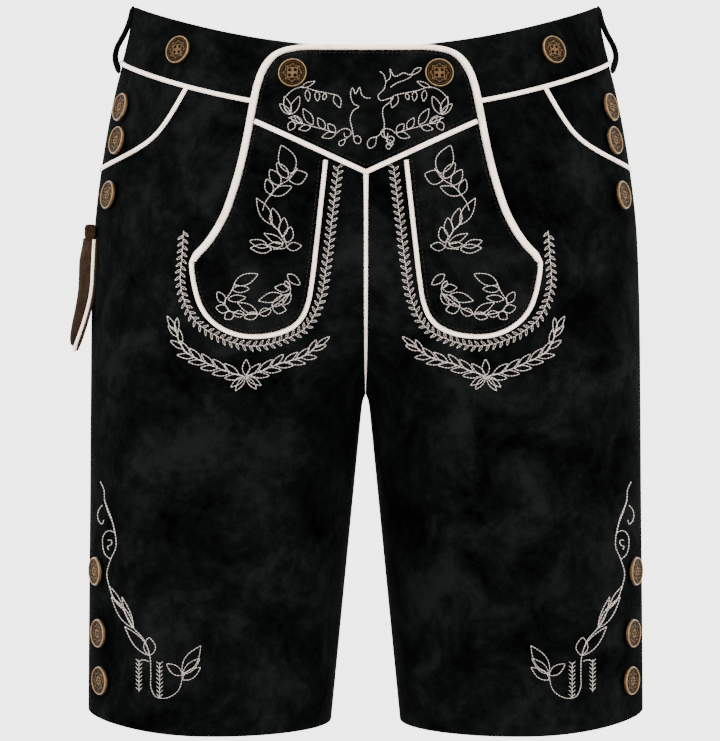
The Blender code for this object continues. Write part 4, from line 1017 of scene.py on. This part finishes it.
def stitches(name, lines, pitch, lift, width=0.00054, high=0.00042, gap=0.00030,
             finish=rayon, slot="cream_leather"):
    """Bars along flat lines on the front: centre from start to end, width across the way they
    run, height along the normal."""
    cuts = np.concatenate([cut_line(line, pitch, gap) for line in lines], axis=1)
    points, normals = from_front(cuts[..., 0], cuts[..., 1], lift)
    start, end = points
    up = unit(normals.sum(axis=0))
    side = unit(np.cross(end - start, up))
    t, swell = STITCH_RINGS[None, :, None, None], STITCH_SWELL[None, :, None, None]
    across, rise = STITCH_SECTION[:, 0, None], STITCH_SECTION[:, 1, None]
    middle = start[:, None, None] + (end - start)[:, None, None] * t
    rings = middle + side[:, None, None] * width * swell * across
    rings = rings + up[:, None, None] * high * (swell * np.maximum(rise, 0) + np.minimum(rise, 0))
    faces = sweep(rings[0])[1]
    every = (faces + np.arange(len(rings))[:, None, None] * 16).reshape(-1, 4)
    make_piece(name, rings.reshape(-1, 3), every, finish, slot=slot, sharp=80)
    print(f"{name}: {len(rings)} stitches")


# %% [markdown]
# ## Leaves, stems and sprays
# All the ornament is made of one leaf and one stem. A leaf runs from its base to its tip and
# is widest a little below the middle. A stem is a smooth line through a few points. A vine is a
# stem with pairs of leaves at even steps, and a wreath is two vines whose leaves shrink
# towards the ends. Sizes are in millimetres here, as an embroidery pattern gives them.

# %% Leaf, stem and vine
Leaf = namedtuple("Leaf", "base_x base_z tip_x tip_z width")


def leaf_lines(leaves):
    """Each leaf's outline: base to tip and back, with half the width times sin(pi t ** 0.85)."""
    rows = np.array(leaves, float)
    base, tip = rows[:, None, 0:2] * 0.001, rows[:, None, 2:4] * 0.001
    t = np.linspace(0, 1, 15)
    t = np.concatenate([t, t[-2::-1]])[None, :, None]
    side = np.where(np.arange(29) < 15, 1.0, -1.0)[None, :, None]
    along = tip - base
    across = unit(np.stack([-along[..., 1], along[..., 0]], axis=-1))
    belly = np.sin(math.pi * t**0.85) * rows[:, None, 4:5] * 0.0005 * side
    return list(base + along * t + across * belly)


def stem(*points):
    """A smooth flat line through points in millimetres."""
    return smooth_line(np.array(points) * 0.001, 0.0008)


def vine_leaves(line, first, step, reach, spread, slim, shrink=0.0, shift=0.0):
    """Leaves on both sides of a line in metres: each points forward by reach and out by spread,
    those on the second side start later by shift, and all lose the share shrink of their size
    by the line's end."""
    run = run_length(line)
    leaves = []
    for side in (1, -1):
        at = np.arange(first + (shift if side < 0 else 0.0), run[-1], step)
        place, ahead, behind = (
            np.stack([np.interp(at + d, run, line[:, k]) for k in (0, 1)], axis=1)
            for d in (0.0, 1e-4, -1e-4))
        tangent = unit(ahead - behind)
        outward = np.stack([-tangent[:, 1], tangent[:, 0]], axis=1) * side
        size = (1 - shrink * at / run[-1])[:, None]
        tip = place + (tangent * reach + outward * spread) * size
        leaves.append(np.concatenate([place, tip, slim * size], axis=1) * 1000)
    return np.concatenate(leaves)


def mirrored(lines, half):
    """Lines drawn for the wearer's right half, turned over for the left."""
    return [line * np.array([-half, 1.0]) for line in lines]


# %% [markdown]
# ## The vine round each lobe, and the wreath below it
# A narrow vine runs round each lobe, outside its binding, with leaves on alternate sides.
# Under the lobe two leafy arms leave a small flower with two ribbon ends. Both lie on the
# front panels.

# %% Vines and wreaths
VINE = stem(
    (-123.3, -141.5), (-124.5, -160.5), (-125.4, -176.5), (-120.9, -193.7), (-115.2, -202.9),
    (-107.1, -209.3), (-90.0, -217.3), (-75.2, -219.8), (-55.9, -215.4), (-41.0, -207.4),
    (-31.0, -189.2), (-26.6, -165.5), (-23.3, -138.3), (-20.8, -117.8), (-18.5, -98.8))
WREATH_OUTER = stem((-82.0, -240.4), (-91.8, -237.6), (-101.1, -234.2), (-110.5, -230.0),
                    (-116.1, -227.4), (-121.8, -223.6), (-125.8, -217.6), (-128.6, -209.8))
WREATH_INNER = stem((-82.0, -240.4), (-70.8, -236.5), (-60.3, -232.2), (-49.8, -229.2),
                    (-40.8, -225.6), (-34.6, -220.6))
FLOWER = (
    Leaf(-81.4, -239.6, -80.8, -228.6, 5.0),
    Leaf(-82.4, -240.4, -91.6, -247.6, 4.0),
    Leaf(-81.8, -240.8, -88.6, -250.2, 3.6),
    Leaf(-80.6, -240.6, -71.0, -246.4, 4.0),
    Leaf(-81.0, -240.8, -74.0, -249.4, 3.6),
    Leaf(-128.6, -209.8, -134.8, -199.2, 3.6),
    Leaf(-34.6, -220.6, -24.2, -212.8, 3.0),
)

wreath_lines = [WREATH_OUTER, WREATH_INNER]
fine_leaves = vine_leaves(VINE, 0.0012, 0.0046, 0.0029, 0.0036, 0.0014, shift=0.0023)
wreath_leaves = np.concatenate(
    [vine_leaves(line, 0.001, 0.0090, 0.0125, 0.0050, 0.0040, 0.20, 0.003)
     for line in wreath_lines])
for half, side in SIDES:
    stitches(f"vine_{side}", mirrored([VINE] + leaf_lines(fine_leaves), half), 0.0017, 0.0,
             width=0.00043, high=0.00035, gap=0.0002)
    stitches(f"wreath_{side}", mirrored(
        wreath_lines + leaf_lines(wreath_leaves) + leaf_lines(FLOWER), half), 0.0021, 0.0)

# %% [markdown]
# ## The sprays on the lobes
# Each lobe carries a curling spray above and an open wreath below. These aren't even vines,
# so every leaf has its own row: base, tip and width.

# %% Sprays
LOBE_LEAVES = (
    Leaf(-49.3, -104.4, -56.8, -84.9, 11.5),
    Leaf(-51.6, -108.7, -39.1, -104.4, 9.7),
    Leaf(-52.4, -107.6, -59.9, -96.7, 6.4),
    Leaf(-57.6, -112.3, -64.5, -101.2, 7.1),
    Leaf(-63.5, -118.5, -66.5, -107.5, 5.7),
    Leaf(-63.5, -118.5, -49.3, -112.8, 6.2),
    Leaf(-63.3, -138.3, -73.2, -120.6, 7.1),
    Leaf(-59.2, -141.7, -62.8, -126.9, 6.7),
    Leaf(-55.8, -146.4, -54.9, -133.2, 6.0),
    Leaf(-53.1, -150.5, -50.3, -139.4, 6.4),
    Leaf(-55.3, -151.0, -68.5, -144.2, 4.6),
    Leaf(-65.6, -153.0, -78.3, -149.0, 5.3),
    Leaf(-63.3, -154.8, -77.6, -154.1, 6.0),
    Leaf(-53.1, -153.5, -43.1, -152.5, 5.7),
    Leaf(-55.6, -151.9, -65.8, -151.9, 3.9),
    Leaf(-88.4, -178.2, -72.1, -171.2, 7.1),
    Leaf(-89.7, -181.6, -77.8, -181.1, 4.6),
    Leaf(-92.6, -188.2, -80.3, -186.8, 4.6),
    Leaf(-94.6, -190.7, -99.7, -183.0, 5.3),
    Leaf(-92.1, -195.4, -100.8, -193.4, 5.7),
    Leaf(-89.2, -196.8, -94.9, -201.3, 5.7),
    Leaf(-73.3, -197.2, -86.4, -190.2, 5.3),
    Leaf(-81.8, -197.7, -89.8, -197.9, 4.6),
    Leaf(-72.8, -197.9, -82.3, -200.4, 5.1),
    Leaf(-72.1, -197.7, -63.6, -195.0, 5.3),
    Leaf(-63.2, -193.4, -53.9, -194.9, 6.7),
    Leaf(-56.5, -184.8, -72.4, -189.1, 6.4),
    Leaf(-63.6, -192.7, -51.7, -184.2, 5.1),
    Leaf(-55.7, -191.5, -50.5, -183.6, 4.6),
    Leaf(-51.6, -180.8, -61.5, -180.2, 5.3),
    Leaf(-51.6, -180.2, -54.7, -175.5, 3.4),
    Leaf(-52.9, -171.4, -44.0, -178.5, 5.3),
)
LOBE_STEMS = [
    stem((-45.9, -100.5), (-51.6, -108.1), (-57.8, -112.1), (-63.7, -118.5), (-67.8, -124.6),
         (-69.2, -129.2)),
    stem((-64.9, -133.7), (-62.4, -138.3), (-59.2, -141.9), (-55.5, -147.9), (-53.1, -153.0),
         (-62.4, -154.8)),
    stem((-87.9, -177.7), (-90.7, -183.6), (-94.7, -190.7), (-92.1, -195.2), (-85.3, -197.7),
         (-72.8, -197.9)),
    stem((-72.8, -197.9), (-63.9, -193.4), (-56.8, -188.2), (-51.3, -183.8), (-51.3, -178.5),
         (-54.7, -175.5)),
]
ON_FLAP = FLAP_LIFT + FLAP_WALL
for half, side in SIDES:
    stitches(f"spray_{side}", mirrored(LOBE_STEMS + leaf_lines(LOBE_LEAVES), half), 0.0020,
             ON_FLAP)

# %% [markdown]
# ## The top panel: two branches, a doe and a stag
# A stag and a doe between leafy branches are an old motif on such breeches. Both animals
# are one open line each, drawn here afresh in a dozen points: ears, brow, muzzle, throat
# and neck. The branches are the same on both sides.

# %% Top panel
BRANCH_LEAVES = (
    Leaf(-43.2, -46.1, -34.1, -41.9, 3.0),
    Leaf(-20.8, -51.0, -17.4, -60.0, 5.1),
    Leaf(-39.5, -47.7, -38.6, -55.8, 3.4),
    Leaf(-32.9, -48.7, -32.4, -55.8, 3.4),
    Leaf(-27.2, -50.1, -28.6, -54.7, 2.8),
    Leaf(-50.6, -64.5, -58.0, -56.8, 3.9),
    Leaf(-50.6, -64.5, -54.6, -52.0, 4.6),
    Leaf(-50.0, -64.3, -44.3, -51.6, 5.1),
    Leaf(-43.6, -70.3, -50.6, -66.1, 3.9),
    Leaf(-48.4, -69.3, -51.5, -75.3, 5.1),
    Leaf(-35.6, -71.5, -42.2, -60.4, 5.3),
    Leaf(-37.0, -72.8, -45.1, -74.4, 4.1),
    Leaf(-27.8, -74.4, -32.4, -66.6, 4.6),
    Leaf(-20.6, -76.7, -25.8, -70.5, 4.6),
    Leaf(-20.3, -77.2, -29.7, -79.9, 4.4),
    Leaf(-42.6, -70.8, -48.1, -65.0, 3.0),
)
BRANCH_STEMS = [
    stem((-52.1, -50.4), (-48.4, -47.4), (-42.7, -45.8), (-34.7, -48.2), (-26.7, -49.8),
         (-20.8, -51.0)),
    stem((-52.1, -50.4), (-55.0, -54.5), (-54.1, -60.3), (-50.4, -64.5)),
    stem((-52.0, -66.5), (-43.6, -70.3), (-35.6, -72.6), (-27.8, -74.7), (-19.9, -77.2)),
    stem((-19.9, -77.2), (-16.7, -74.7), (-12.8, -74.0), (-9.9, -76.3), (-10.8, -79.0),
         (-14.4, -79.5), (-14.6, -76.7)),
    stem((-10.8, -79.0), (-14.2, -81.1), (-18.3, -83.2), (-17.6, -85.7), (-14.6, -84.1),
         (-14.0, -81.1)),
]
DOE = [
    stem((-10.1, -53.7), (-10.3, -49.1), (-9.0, -46.0), (-7.1, -50.6), (-4.2, -45.8),
         (-2.6, -51.4), (0.1, -53.3), (3.3, -53.3)),
    stem((-10.1, -53.7), (-7.8, -57.7), (-4.4, -58.8), (-8.5, -61.8), (-10.6, -67.3),
         (-9.2, -74.2), (-8.3, -79.9)),
    stem((-8.3, -79.9), (-5.8, -78.6), (-3.3, -81.1), (-4.2, -84.1), (-7.6, -83.2),
         (-8.3, -79.9)),
]
STAG = [
    stem((9.3, -35.0), (12.0, -37.3), (13.4, -42.2)),
    stem((13.4, -42.2), (16.3, -39.7), (16.1, -33.2), (19.3, -38.7), (25.7, -36.2), (29.8, -37.6),
         (33.2, -33.4), (37.3, -32.7), (35.7, -35.2), (30.3, -38.0)),
    stem((16.3, -46.1), (21.1, -42.9), (25.7, -41.3), (30.7, -38.7)),
    stem((13.4, -42.2), (12.5, -46.6), (8.1, -52.6), (9.5, -54.9), (14.3, -54.0), (18.6, -52.8),
         (16.1, -56.0), (11.5, -60.2), (11.3, -65.0), (12.4, -69.9), (12.0, -75.4)),
    stem((12.0, -75.4), (7.2, -79.5), (2.9, -80.6), (0.8, -84.5), (2.4, -87.3), (5.6, -85.9),
         (7.2, -79.5)),
    stem((12.0, -75.4), (13.3, -80.6), (17.2, -79.0), (19.2, -81.1), (17.2, -83.6),
         (13.3, -82.2)),
    stem((16.3, -83.6), (13.3, -85.7), (15.1, -88.0), (17.0, -85.9), (16.3, -83.6)),
]
top_lines = []
for half in (1, -1):
    top_lines += mirrored(BRANCH_STEMS + leaf_lines(BRANCH_LEAVES), half)
stitches("branches_top", top_lines, 0.0018, ON_FLAP, width=0.00052)
stitches("doe_and_stag", DOE + STAG, 0.0018, ON_FLAP, width=0.00058)

# %% [markdown]
# ## The legs' outer sides
# A tendril climbs from the hem to the thigh on each leg's outer side, with two short
# ladders of slanting stitches beside its foot and a spray of leaves at its end.

# %% Leg tendrils
LEG_LEAVES = (
    Leaf(-168.2, -400.9, -178.3, -386.0, 3.8),
    Leaf(-160.1, -413.9, -176.6, -393.5, 6.9),
    Leaf(-160.1, -413.9, -168.6, -392.8, 3.8),
    Leaf(-148.4, -432.3, -166.5, -413.2, 7.3),
    Leaf(-148.1, -432.1, -149.0, -419.3, 8.6),
    Leaf(-125.6, -445.0, -136.9, -437.2, 6.2),
    Leaf(-125.6, -443.6, -112.8, -424.4, 8.6),
    Leaf(-125.4, -444.3, -113.2, -432.9, 5.3),
    Leaf(-125.6, -448.1, -113.0, -439.4, 6.2),
)
LEG_STEMS = [
    stem((-185.4, -313.8), (-182.3, -319.0), (-181.8, -325.4), (-176.2, -339.2), (-173.4, -349.4),
         (-172.9, -358.2), (-177.0, -367.5), (-180.1, -378.0), (-178.6, -385.1), (-173.8, -395.5),
         (-168.2, -400.9), (-160.1, -413.6), (-152.1, -422.2), (-148.4, -432.1), (-147.7, -444.4),
         (-147.3, -455.4), (-144.3, -460.4), (-140.4, -461.4), (-133.6, -459.7), (-128.3, -455.3),
         (-126.1, -449.2), (-125.6, -443.6)),
    stem((-154.7, -435.8), (-151.9, -435.4), (-149.1, -436.4)),
    stem((-182.1, -326.0), (-178.7, -335.1), (-175.2, -342.5), (-173.9, -349.4)),
    stem((-173.7, -348.5), (-178.7, -347.5), (-182.7, -351.2), (-183.5, -357.0), (-181.4, -364.5),
         (-177.0, -367.5)),
    stem((-179.5, -354.4), (-176.2, -353.9), (-176.7, -357.5), (-179.8, -358.7),
         (-178.5, -360.9)),
    stem((-183.4, -330.1), (-185.9, -332.7), (-187.6, -337.0), (-186.7, -341.4), (-183.7, -343.6),
         (-182.4, -340.3)),
]
LADDERS = ((-156.2, -436.4, -456.8), (-141.5, -437.6, -460.5))


def ladder(x, top, bottom):
    """A spine with a pair of slanting stitches at every 2.8 mm, in a V that opens upwards."""
    z = np.arange(bottom, top, 2.8)
    lines = [stem((x, top + 1.0), (x, (top + bottom) / 2), (x, bottom - 1.0))]
    for side in (-1, 1):
        lines += [np.array([(x, k), (x + side * 2.3, k + 2.2)]) * 0.001 for k in z]
    return lines


ladders = [line for row in LADDERS for line in ladder(*row)]
for half, side in SIDES:
    stitches(f"tendril_{side}", mirrored(LEG_STEMS + leaf_lines(LEG_LEAVES), half), 0.0021, 0.0,
             width=0.00046)
    stitches(f"ladders_{side}", mirrored(ladders, half), 0.0042, 0.0, width=0.00034,
             gap=0.0001)

# %% [markdown]
# ## Sewing
# The bindings are sewn down with a row of brown stitches, two millimetres inside them.

# %% Brown stitching
SEW_IN = 0.0023
seam_line = moved_in(flap_line, binding_width(flap_line) + SEW_IN)
seam_line[0, 0] = 0.0
above = seam_line[seam_line[:, 1] > vee_height(seam_line[:, 0]) + 0.005]
below = seam_line[(seam_line[:, 1] < vee_height(seam_line[:, 0]) - 0.004)
                  & (seam_line[:, 1] > -0.1560)]
lobe_seam = moved_in(lobe_line, LOBE_BINDING + SEW_IN)[4:]
lobe_seam = lobe_seam[lobe_seam[:, 1] < vee_height(lobe_seam[:, 0]) - 0.004]
vee = np.linspace(0.0, above[-1, 0] - 0.001, 60)
rows = [above, below, lobe_seam, np.stack([vee, vee_height(vee) + 0.0046], axis=1)]
rows += [row * MIRROR for row in rows]
stitches("binding_seams", rows, 0.0032, ON_FLAP, width=0.00045, high=0.00022, gap=0.0011,
         finish=waxed, slot="brown_leather")

# %% [markdown]
# ## Sixteen buttons
# One die pressed the waist and flap buttons, and another the hip and hem ones. The face
# is drawn as a height over the disc: rim, a ring of beads, a ring of scrolls and a middle,
# which has either four sewing holes in a raised square or a flower. The disc is a tube of
# rings: from the face's middle, over the rim and the side, in under the button and down the
# shank. The height of the ornament is also kept as the attribute that the brass reads.

# %% Button face
BUTTON_RADIUS, BUTTON_THICK, BUTTON_STAND, SHANK_RADIUS = 0.0100, 0.0032, 0.0010, 0.0026
BUTTON_SIDES = 96
HOLE_OFFSET, HOLE_RADIUS = 0.0019, 0.00088
ORNAMENT = 0.0009


def hill(value, centre, half_width):
    """1 at the centre, falling by a cosine to 0 half_width away."""
    return 0.5 + 0.5 * np.cos(math.pi * np.clip((value - centre) / half_width, -1, 1))


def button_face(x, y, flower):
    """Ornament height from 0 to 1 over the disc, radius 1: the highest of its parts."""
    r, turn = np.hypot(x, y), np.arctan2(y, x)
    rim = hill(r, 0.93, 0.10) * 1.15
    beads = hill(r, 0.775, 0.055) * (0.40 + 0.45 * np.cos(36 * turn))
    lines = hill(r, 0.70, 0.022) * 0.45
    leaf = hill(r, 0.565 + 0.055 * np.cos(8 * turn), 0.085) * (0.62 + 0.25 * np.cos(16 * turn + 1))
    curl = hill(np.hypot(r - 0.56, 0.45 * np.sin(4 * turn)), 0.10, 0.05) * 0.7
    parts = [rim, beads, lines, leaf, curl]
    if flower:
        petals = hill(r, 0.24, 0.19) * (0.62 + 0.38 * np.cos(8 * turn))
        parts += [petals, hill(r, 0.0, 0.10) * 0.95, hill(r, 0.43, 0.025) * 0.5]
    else:
        reach = np.maximum(abs(x), abs(y))
        parts += [0.60 * np.clip((0.36 - reach) / 0.03, 0, 1), hill(reach, 0.36, 0.035) * 0.80]
    face = np.maximum.reduce(parts)
    if not flower:
        hole = HOLE_OFFSET / BUTTON_RADIUS
        near = np.hypot(abs(x) - hole, abs(y) - hole) / (HOLE_RADIUS / BUTTON_RADIUS)
        face = face - 1.9 * np.clip((1.25 - near) / 0.35, 0, 1)
    return face


def button_rings(flower):
    """Rings of the whole button, standing on z 0, with the ornament's height for each point."""
    turn = np.linspace(0, 2 * math.pi, BUTTON_SIDES, endpoint=False)
    shares = np.concatenate([[0.012], np.linspace(0.03, 0.97, 56), [0.985, 0.996]])
    x, y = shares[:, None] * np.cos(turn), shares[:, None] * np.sin(turn)
    face = button_face(x, y, flower)
    base = BUTTON_STAND + BUTTON_THICK - ORNAMENT * 1.15
    edge = 0.0009 * (1 - np.sqrt(1 - np.clip((shares - 0.90) / 0.10, 0, 0.999) ** 2))
    z = base + ORNAMENT * face - edge[:, None]
    top = np.stack([x * BUTTON_RADIUS, y * BUTTON_RADIUS, z], axis=-1)
    side = ((1.0, 0.0017), (0.99, 0.0010), (0.96, 0.0004), (0.90, 0.0), (0.5, 0.0), (0.28, 0.0))
    under = [(BUTTON_RADIUS * k, BUTTON_STAND + h) for k, h in side]
    under += [(SHANK_RADIUS, BUTTON_STAND - 0.0002), (SHANK_RADIUS, 0.0), (0.0002, 0.0)]
    low = np.array([[(a * math.cos(t), a * math.sin(t), h) for t in turn] for a, h in under])
    height = np.concatenate([np.clip(face, 0, 1), np.full(low.shape[:2], 0.25)])
    height[len(shares):len(shares) + 2] = 0.8
    return np.concatenate([top, low]), height.ravel()


ButtonPlace = namedtuple("ButtonPlace", "name across height on flower")
BUTTONS = (
    ButtonPlace("waist_button", 0.1270, -0.0170, "band", False),
    ButtonPlace("flap_button", 0.0487, -0.0368, "flap", False),
    ButtonPlace("hip_button_upper", 0.1688, -0.0530, "panel", True),
    ButtonPlace("hip_button_middle", 0.1709, -0.0765, "panel", True),
    ButtonPlace("hip_button_lower", 0.1767, -0.1146, "panel", True),
    ButtonPlace("hem_button_upper", 0.1865, -0.3766, "panel", True),
    ButtonPlace("hem_button_middle", 0.1842, -0.4197, "panel", True),
    ButtonPlace("hem_button_lower", 0.1831, -0.4526, "panel", True),
)
STAND_ON = {"band": BAND_PROUD, "flap": ON_FLAP, "panel": 0.0}
PATTERNS = {flower: button_rings(flower) for flower in (False, True)}

# %% Buttons in place
for row in BUTTONS:
    rings, height = PATTERNS[row.flower]
    for half, side in SIDES:
        lift = STAND_ON[row.on] + SEAM_GAP
        spot, normal = from_front(half * row.across, row.height, lift)
        up = unit(np.array([0.0, 0.0, 1.0]) - normal * normal[2])
        axes = np.stack([np.cross(up, normal), up, normal])
        name = f"{row.name}_{side}"
        piece = make_piece(f"{name}_brass", *sweep(rings @ axes + spot), brass, [name],
                           "aged_brass", sharp=75)
        shown = piece.data.attributes.new("relief", "FLOAT", "POINT")
        shown.data.foreach_set("value", height.astype(np.float32))
print(f"16 buttons of {rings.shape[0]} rings, {BUTTON_SIDES} points round")

# %% [markdown]
# ## Belt loops
# Each loop is a folded strip of suede, sewn above the band's top edge and below the waist
# seam. It is a section carried down a route that is given as a distance out of the
# band at each height. Two grooves along its edges are the lines where it is stitched.

# %% Belt loops
LOOP_WIDTH, LOOP_THICK, LOOP_INWARD = 0.0110, 0.0040, 0.0010
LoopPoint = namedtuple("LoopPoint", "out height")
LOOP_ROUTE = (
    LoopPoint(0.0015, 0.0222),
    LoopPoint(0.0016, 0.0180),
    LoopPoint(0.0022, 0.0116),
    LoopPoint(0.0042, 0.0023),
    LoopPoint(0.0062, -0.0045),
    LoopPoint(0.0071, -0.0085),
    LoopPoint(0.0072, -0.0114),
    LoopPoint(0.0070, -0.0142),
    LoopPoint(0.0056, -0.0180),
    LoopPoint(0.0032, -0.0216),
    LoopPoint(0.0012, -0.0250),
)
route = smooth_line(LOOP_ROUTE, 0.0008)
base, normal = worn(np.full(len(route), SIDE_U), route[:, 1])
middle = base + normal * (BAND_PROUD + route[:, :1] - LOOP_INWARD)
wide = unit(np.cross(normal, (0.0, 0.0, 1.0)))
thick = unit(np.cross(wide, np.gradient(middle, axis=0)))
across = np.sin(np.linspace(-1, 1, 24) * math.pi / 2)
skin = (1 - np.abs(across) ** 6) ** 0.5
groove = 0.00028 * hill(np.abs(across), 0.76, 0.07)
section = np.concatenate([
    np.stack([across * LOOP_WIDTH / 2, skin * LOOP_THICK / 2 - groove], axis=1),
    np.stack([-across * LOOP_WIDTH / 2, -skin * LOOP_THICK / 2], axis=1)])
ends = np.minimum(1.0, 0.35 + np.arange(len(route)) * 0.2)
thin = np.minimum(ends, ends[::-1])[:, None, None]
for half, side in SIDES:
    rings = (middle[:, None] + wide[:, None] * section[:, :1]
             + thick[:, None] * section[:, 1:] * thin) * np.array([half, 1.0, 1.0])
    piece = make_piece(f"loop_{side}", *sweep(rings), suede, [f"belt_loop_{side}"], "black_suede",
                       sharp=80)

# %% [markdown]
# ## The knife pocket
# On the wearer's right thigh hangs a narrow brown sheath for a hunting knife. Two leathers
# are closed by a round piping, flat on the leg above and standing off at the tip. Places on
# it are given as shares: down from the mouth to the tip, and across from edge to edge.

# %% Knife pocket
SHEATH_TOP, SHEATH_TIP, SHEATH_MIDDLE_U, HALF_GIRTH = -0.1430, -0.2190, 0.928, 0.275
SHEATH_HALF_WIDTH, SHEATH_TIP_WIDTH = 0.0165, 0.30
SHEATH_LEATHER, SHEATH_HOLLOW, SHEATH_STAND_OFF = 0.0015, 0.0064, 0.0095
SHEATH_PIPING, SHEATH_PIPING_CLEAR, SHEATH_FLANGE = 0.0024, 0.0001, 0.0034
ROLL_HALF_WIDTH, ROLL_HALF_HEIGHT, ROLL_LENGTH, ROLL_BACK = 0.0041, 0.0046, 0.0105, -0.0125


def sheath_half_width(down):
    return SHEATH_HALF_WIDTH * (1 - (1 - SHEATH_TIP_WIDTH) * down**3)


def sheath_u(offset):
    return SHEATH_MIDDLE_U + offset / HALF_GIRTH


def stand_off(down):
    """On the leg for the first 0.4 of the way, and then off it by a smooth curve."""
    t = np.clip((down - 0.40) / 0.60, 0, 1)
    return SEAM_GAP + SHEATH_STAND_OFF * t * t * (1.5 - 0.5 * t)


def sheath_bulge(down, across):
    """The hollow between the leathers: a flattened arch across, that closes at the tip."""
    arch = np.clip(1 - across**2, 0, 1) ** 0.6
    return SHEATH_HOLLOW * arch * np.sqrt(np.clip(1 - down**6, 0, 1))


down, across = np.meshgrid(crowded(70, 0.008), 2 * crowded(50, 0.012) - 1, indexing="ij")
full = np.clip(down / 0.24, 0, 1)
bulge = sheath_bulge(down, across) * (0.68 + 0.32 * full * full * (3 - 2 * full))
for name, flange, low in (("back", SHEATH_FLANGE, stand_off(down)),
                          ("front", 0.0, stand_off(down) + SHEATH_LEATHER + SEAM_GAP + bulge)):
    round_tip = 1 - 0.5 * np.clip((down - 0.90) / 0.10, 0, 1) ** 2
    u = sheath_u(across * (sheath_half_width(down) + flange) * round_tip)
    height = SHEATH_TOP + (SHEATH_TIP - flange - SHEATH_TOP) * down
    edge = np.minimum.reduce([down, 1 - down, (1 + across) / 5, (1 - across) / 5])
    high = low + SHEATH_LEATHER - rounding(edge * 0.079, 0.0007)
    outer, inner = lifted(u, height, high, -1), lifted(u, height, low, -1)
    piece = make_piece(f"sheath_{name}", *wall(outer, inner), brown, [f"knife_pocket_{name}"],
                       "brown_leather")
    declare(piece, outer)

down = np.linspace(0.02, 1, 60)
edge = np.stack([-sheath_half_width(down), SHEATH_TOP + (SHEATH_TIP - SHEATH_TOP) * down], axis=1)
edge = np.concatenate([edge, edge[::-1] * MIRROR])
line = smooth_line(moved_in(smooth_line(edge, 0.002), SHEATH_PIPING / 2 + SHEATH_PIPING_CLEAR))
at = np.clip((SHEATH_TOP - line[:, 1]) / (SHEATH_TOP - SHEATH_TIP), 0, 1)
centre, normal = worn(sheath_u(line[:, 0]), line[:, 1])
centre = centre + normal * (stand_off(at) + SHEATH_LEATHER + SHEATH_PIPING * 0.3)[:, None]
tangent = np.gradient(centre, axis=0)
side = unit(np.cross(tangent, normal))
above = unit(np.cross(side, tangent))
turn = np.linspace(0, 2 * math.pi, 16, endpoint=False)
rings = centre[:, None] + SHEATH_PIPING / 2 * (
    side[:, None] * np.cos(turn)[:, None] + above[:, None] * np.sin(turn)[:, None])
make_piece("sheath_piping", *sweep(rings * np.array([-1.0, 1.0, 1.0])), cream,
           ["knife_pocket_piping"], "cream_leather", sharp=70)

# %% Rolled end
height = SHEATH_TOP + ROLL_HALF_HEIGHT
centre = lifted(np.array(sheath_u(ROLL_BACK)), np.array(height), ROLL_HALF_WIDTH + SEAM_GAP, -1)
turn = np.linspace(0, 2 * math.pi, 40, endpoint=False)
wave = np.stack([np.cos(turn), np.zeros(40), np.sin(turn)], axis=1)
ring = np.sign(wave) * np.abs(wave) ** 0.6 * (ROLL_HALF_WIDTH, 0.0, ROLL_HALF_HEIGHT)
ring[:, 2] = np.where(ring[:, 2] < 0, ring[:, 2] * 1.6, ring[:, 2])
along = np.array([-0.5, -0.49, -0.46, -0.38, -0.2, 0.0, 0.2, 0.38, 0.46, 0.49, 0.5])
size = np.array([0.62, 0.76, 0.90, 0.99, 1.0, 0.99, 1.0, 0.99, 0.90, 0.76, 0.62])
rings = centre + along[:, None, None] * ROLL_LENGTH * np.array([0.0, 1.0, 0.0])
rings = rings + size[:, None, None] * ring
make_piece("sheath_roll", *sweep(rings), brown, ["knife_pocket_roll"], "brown_leather")
print("knife pocket closed")

# %% [markdown]
# ## Floor and light
# The photograph was taken before a plain light ground. Here the world is that ground, so
# that the breeches can be looked at from every side, and a pale floor lies below them. The
# ground itself gives nearly all the light, so there is hardly a shadow. Two small lights in
# front and one behind let the brass and the suede's nap show.

# %% Floor and light
FLOOR_Z, FLOOR_REACH = -0.640, 1.0
GROUND_COLOUR, GROUND_STRENGTH = "#ecebea", 5.0
ground, tree, shader, place = new_finish("pale_ground", Roughness=0.9, Specular_IOR_Level=0.1)
shader.inputs["Base Color"].default_value = linear(GROUND_COLOUR)
corners = [(x * FLOOR_REACH, y * FLOOR_REACH, FLOOR_Z)
           for x, y in ((-1, -1), (1, -1), (1, 1), (-1, 1))]
mesh = bpy.data.meshes.new("floor")
mesh.from_pydata(corners, [], [(0, 1, 2, 3)])
mesh.materials.append(ground)
floor = bpy.data.objects.new("floor", mesh)
bpy.context.scene.collection.objects.link(floor)

Light = namedtuple("Light", "name place aim size power colour")
LIGHTS = (
    Light("key", (-0.9, -1.7, 0.9), (0.0, 0.0, -0.2), 0.5, 9.0, "#fffaf4"),
    Light("fill", (1.1, -1.6, 0.2), (0.0, 0.0, -0.25), 0.6, 6.0, "#f8f9ff"),
    Light("back", (0.3, 1.9, 0.8), (0.0, 0.0, -0.2), 0.8, 9.0, "#ffffff"),
)
for row in LIGHTS:
    lamp = bpy.data.lights.new(row.name, "AREA")
    lamp.size, lamp.energy, lamp.color = row.size, row.power, linear(row.colour)[:3]
    holder = bpy.data.objects.new(row.name, lamp)
    holder.location = row.place
    toward = np.array(row.aim) - np.array(row.place)
    flat = math.hypot(toward[0], toward[1])
    holder.rotation_euler = (math.atan2(flat, -toward[2]), 0, math.atan2(-toward[0], toward[1]))
    bpy.context.scene.collection.objects.link(holder)

world = bpy.data.worlds.new("studio")
world.use_nodes = True
sky = world.node_tree.nodes["Background"]
sky.inputs["Color"].default_value = linear(GROUND_COLOUR)
sky.inputs["Strength"].default_value = GROUND_STRENGTH
bpy.context.scene.world = world
print(f"{len(LIGHTS)} lights")
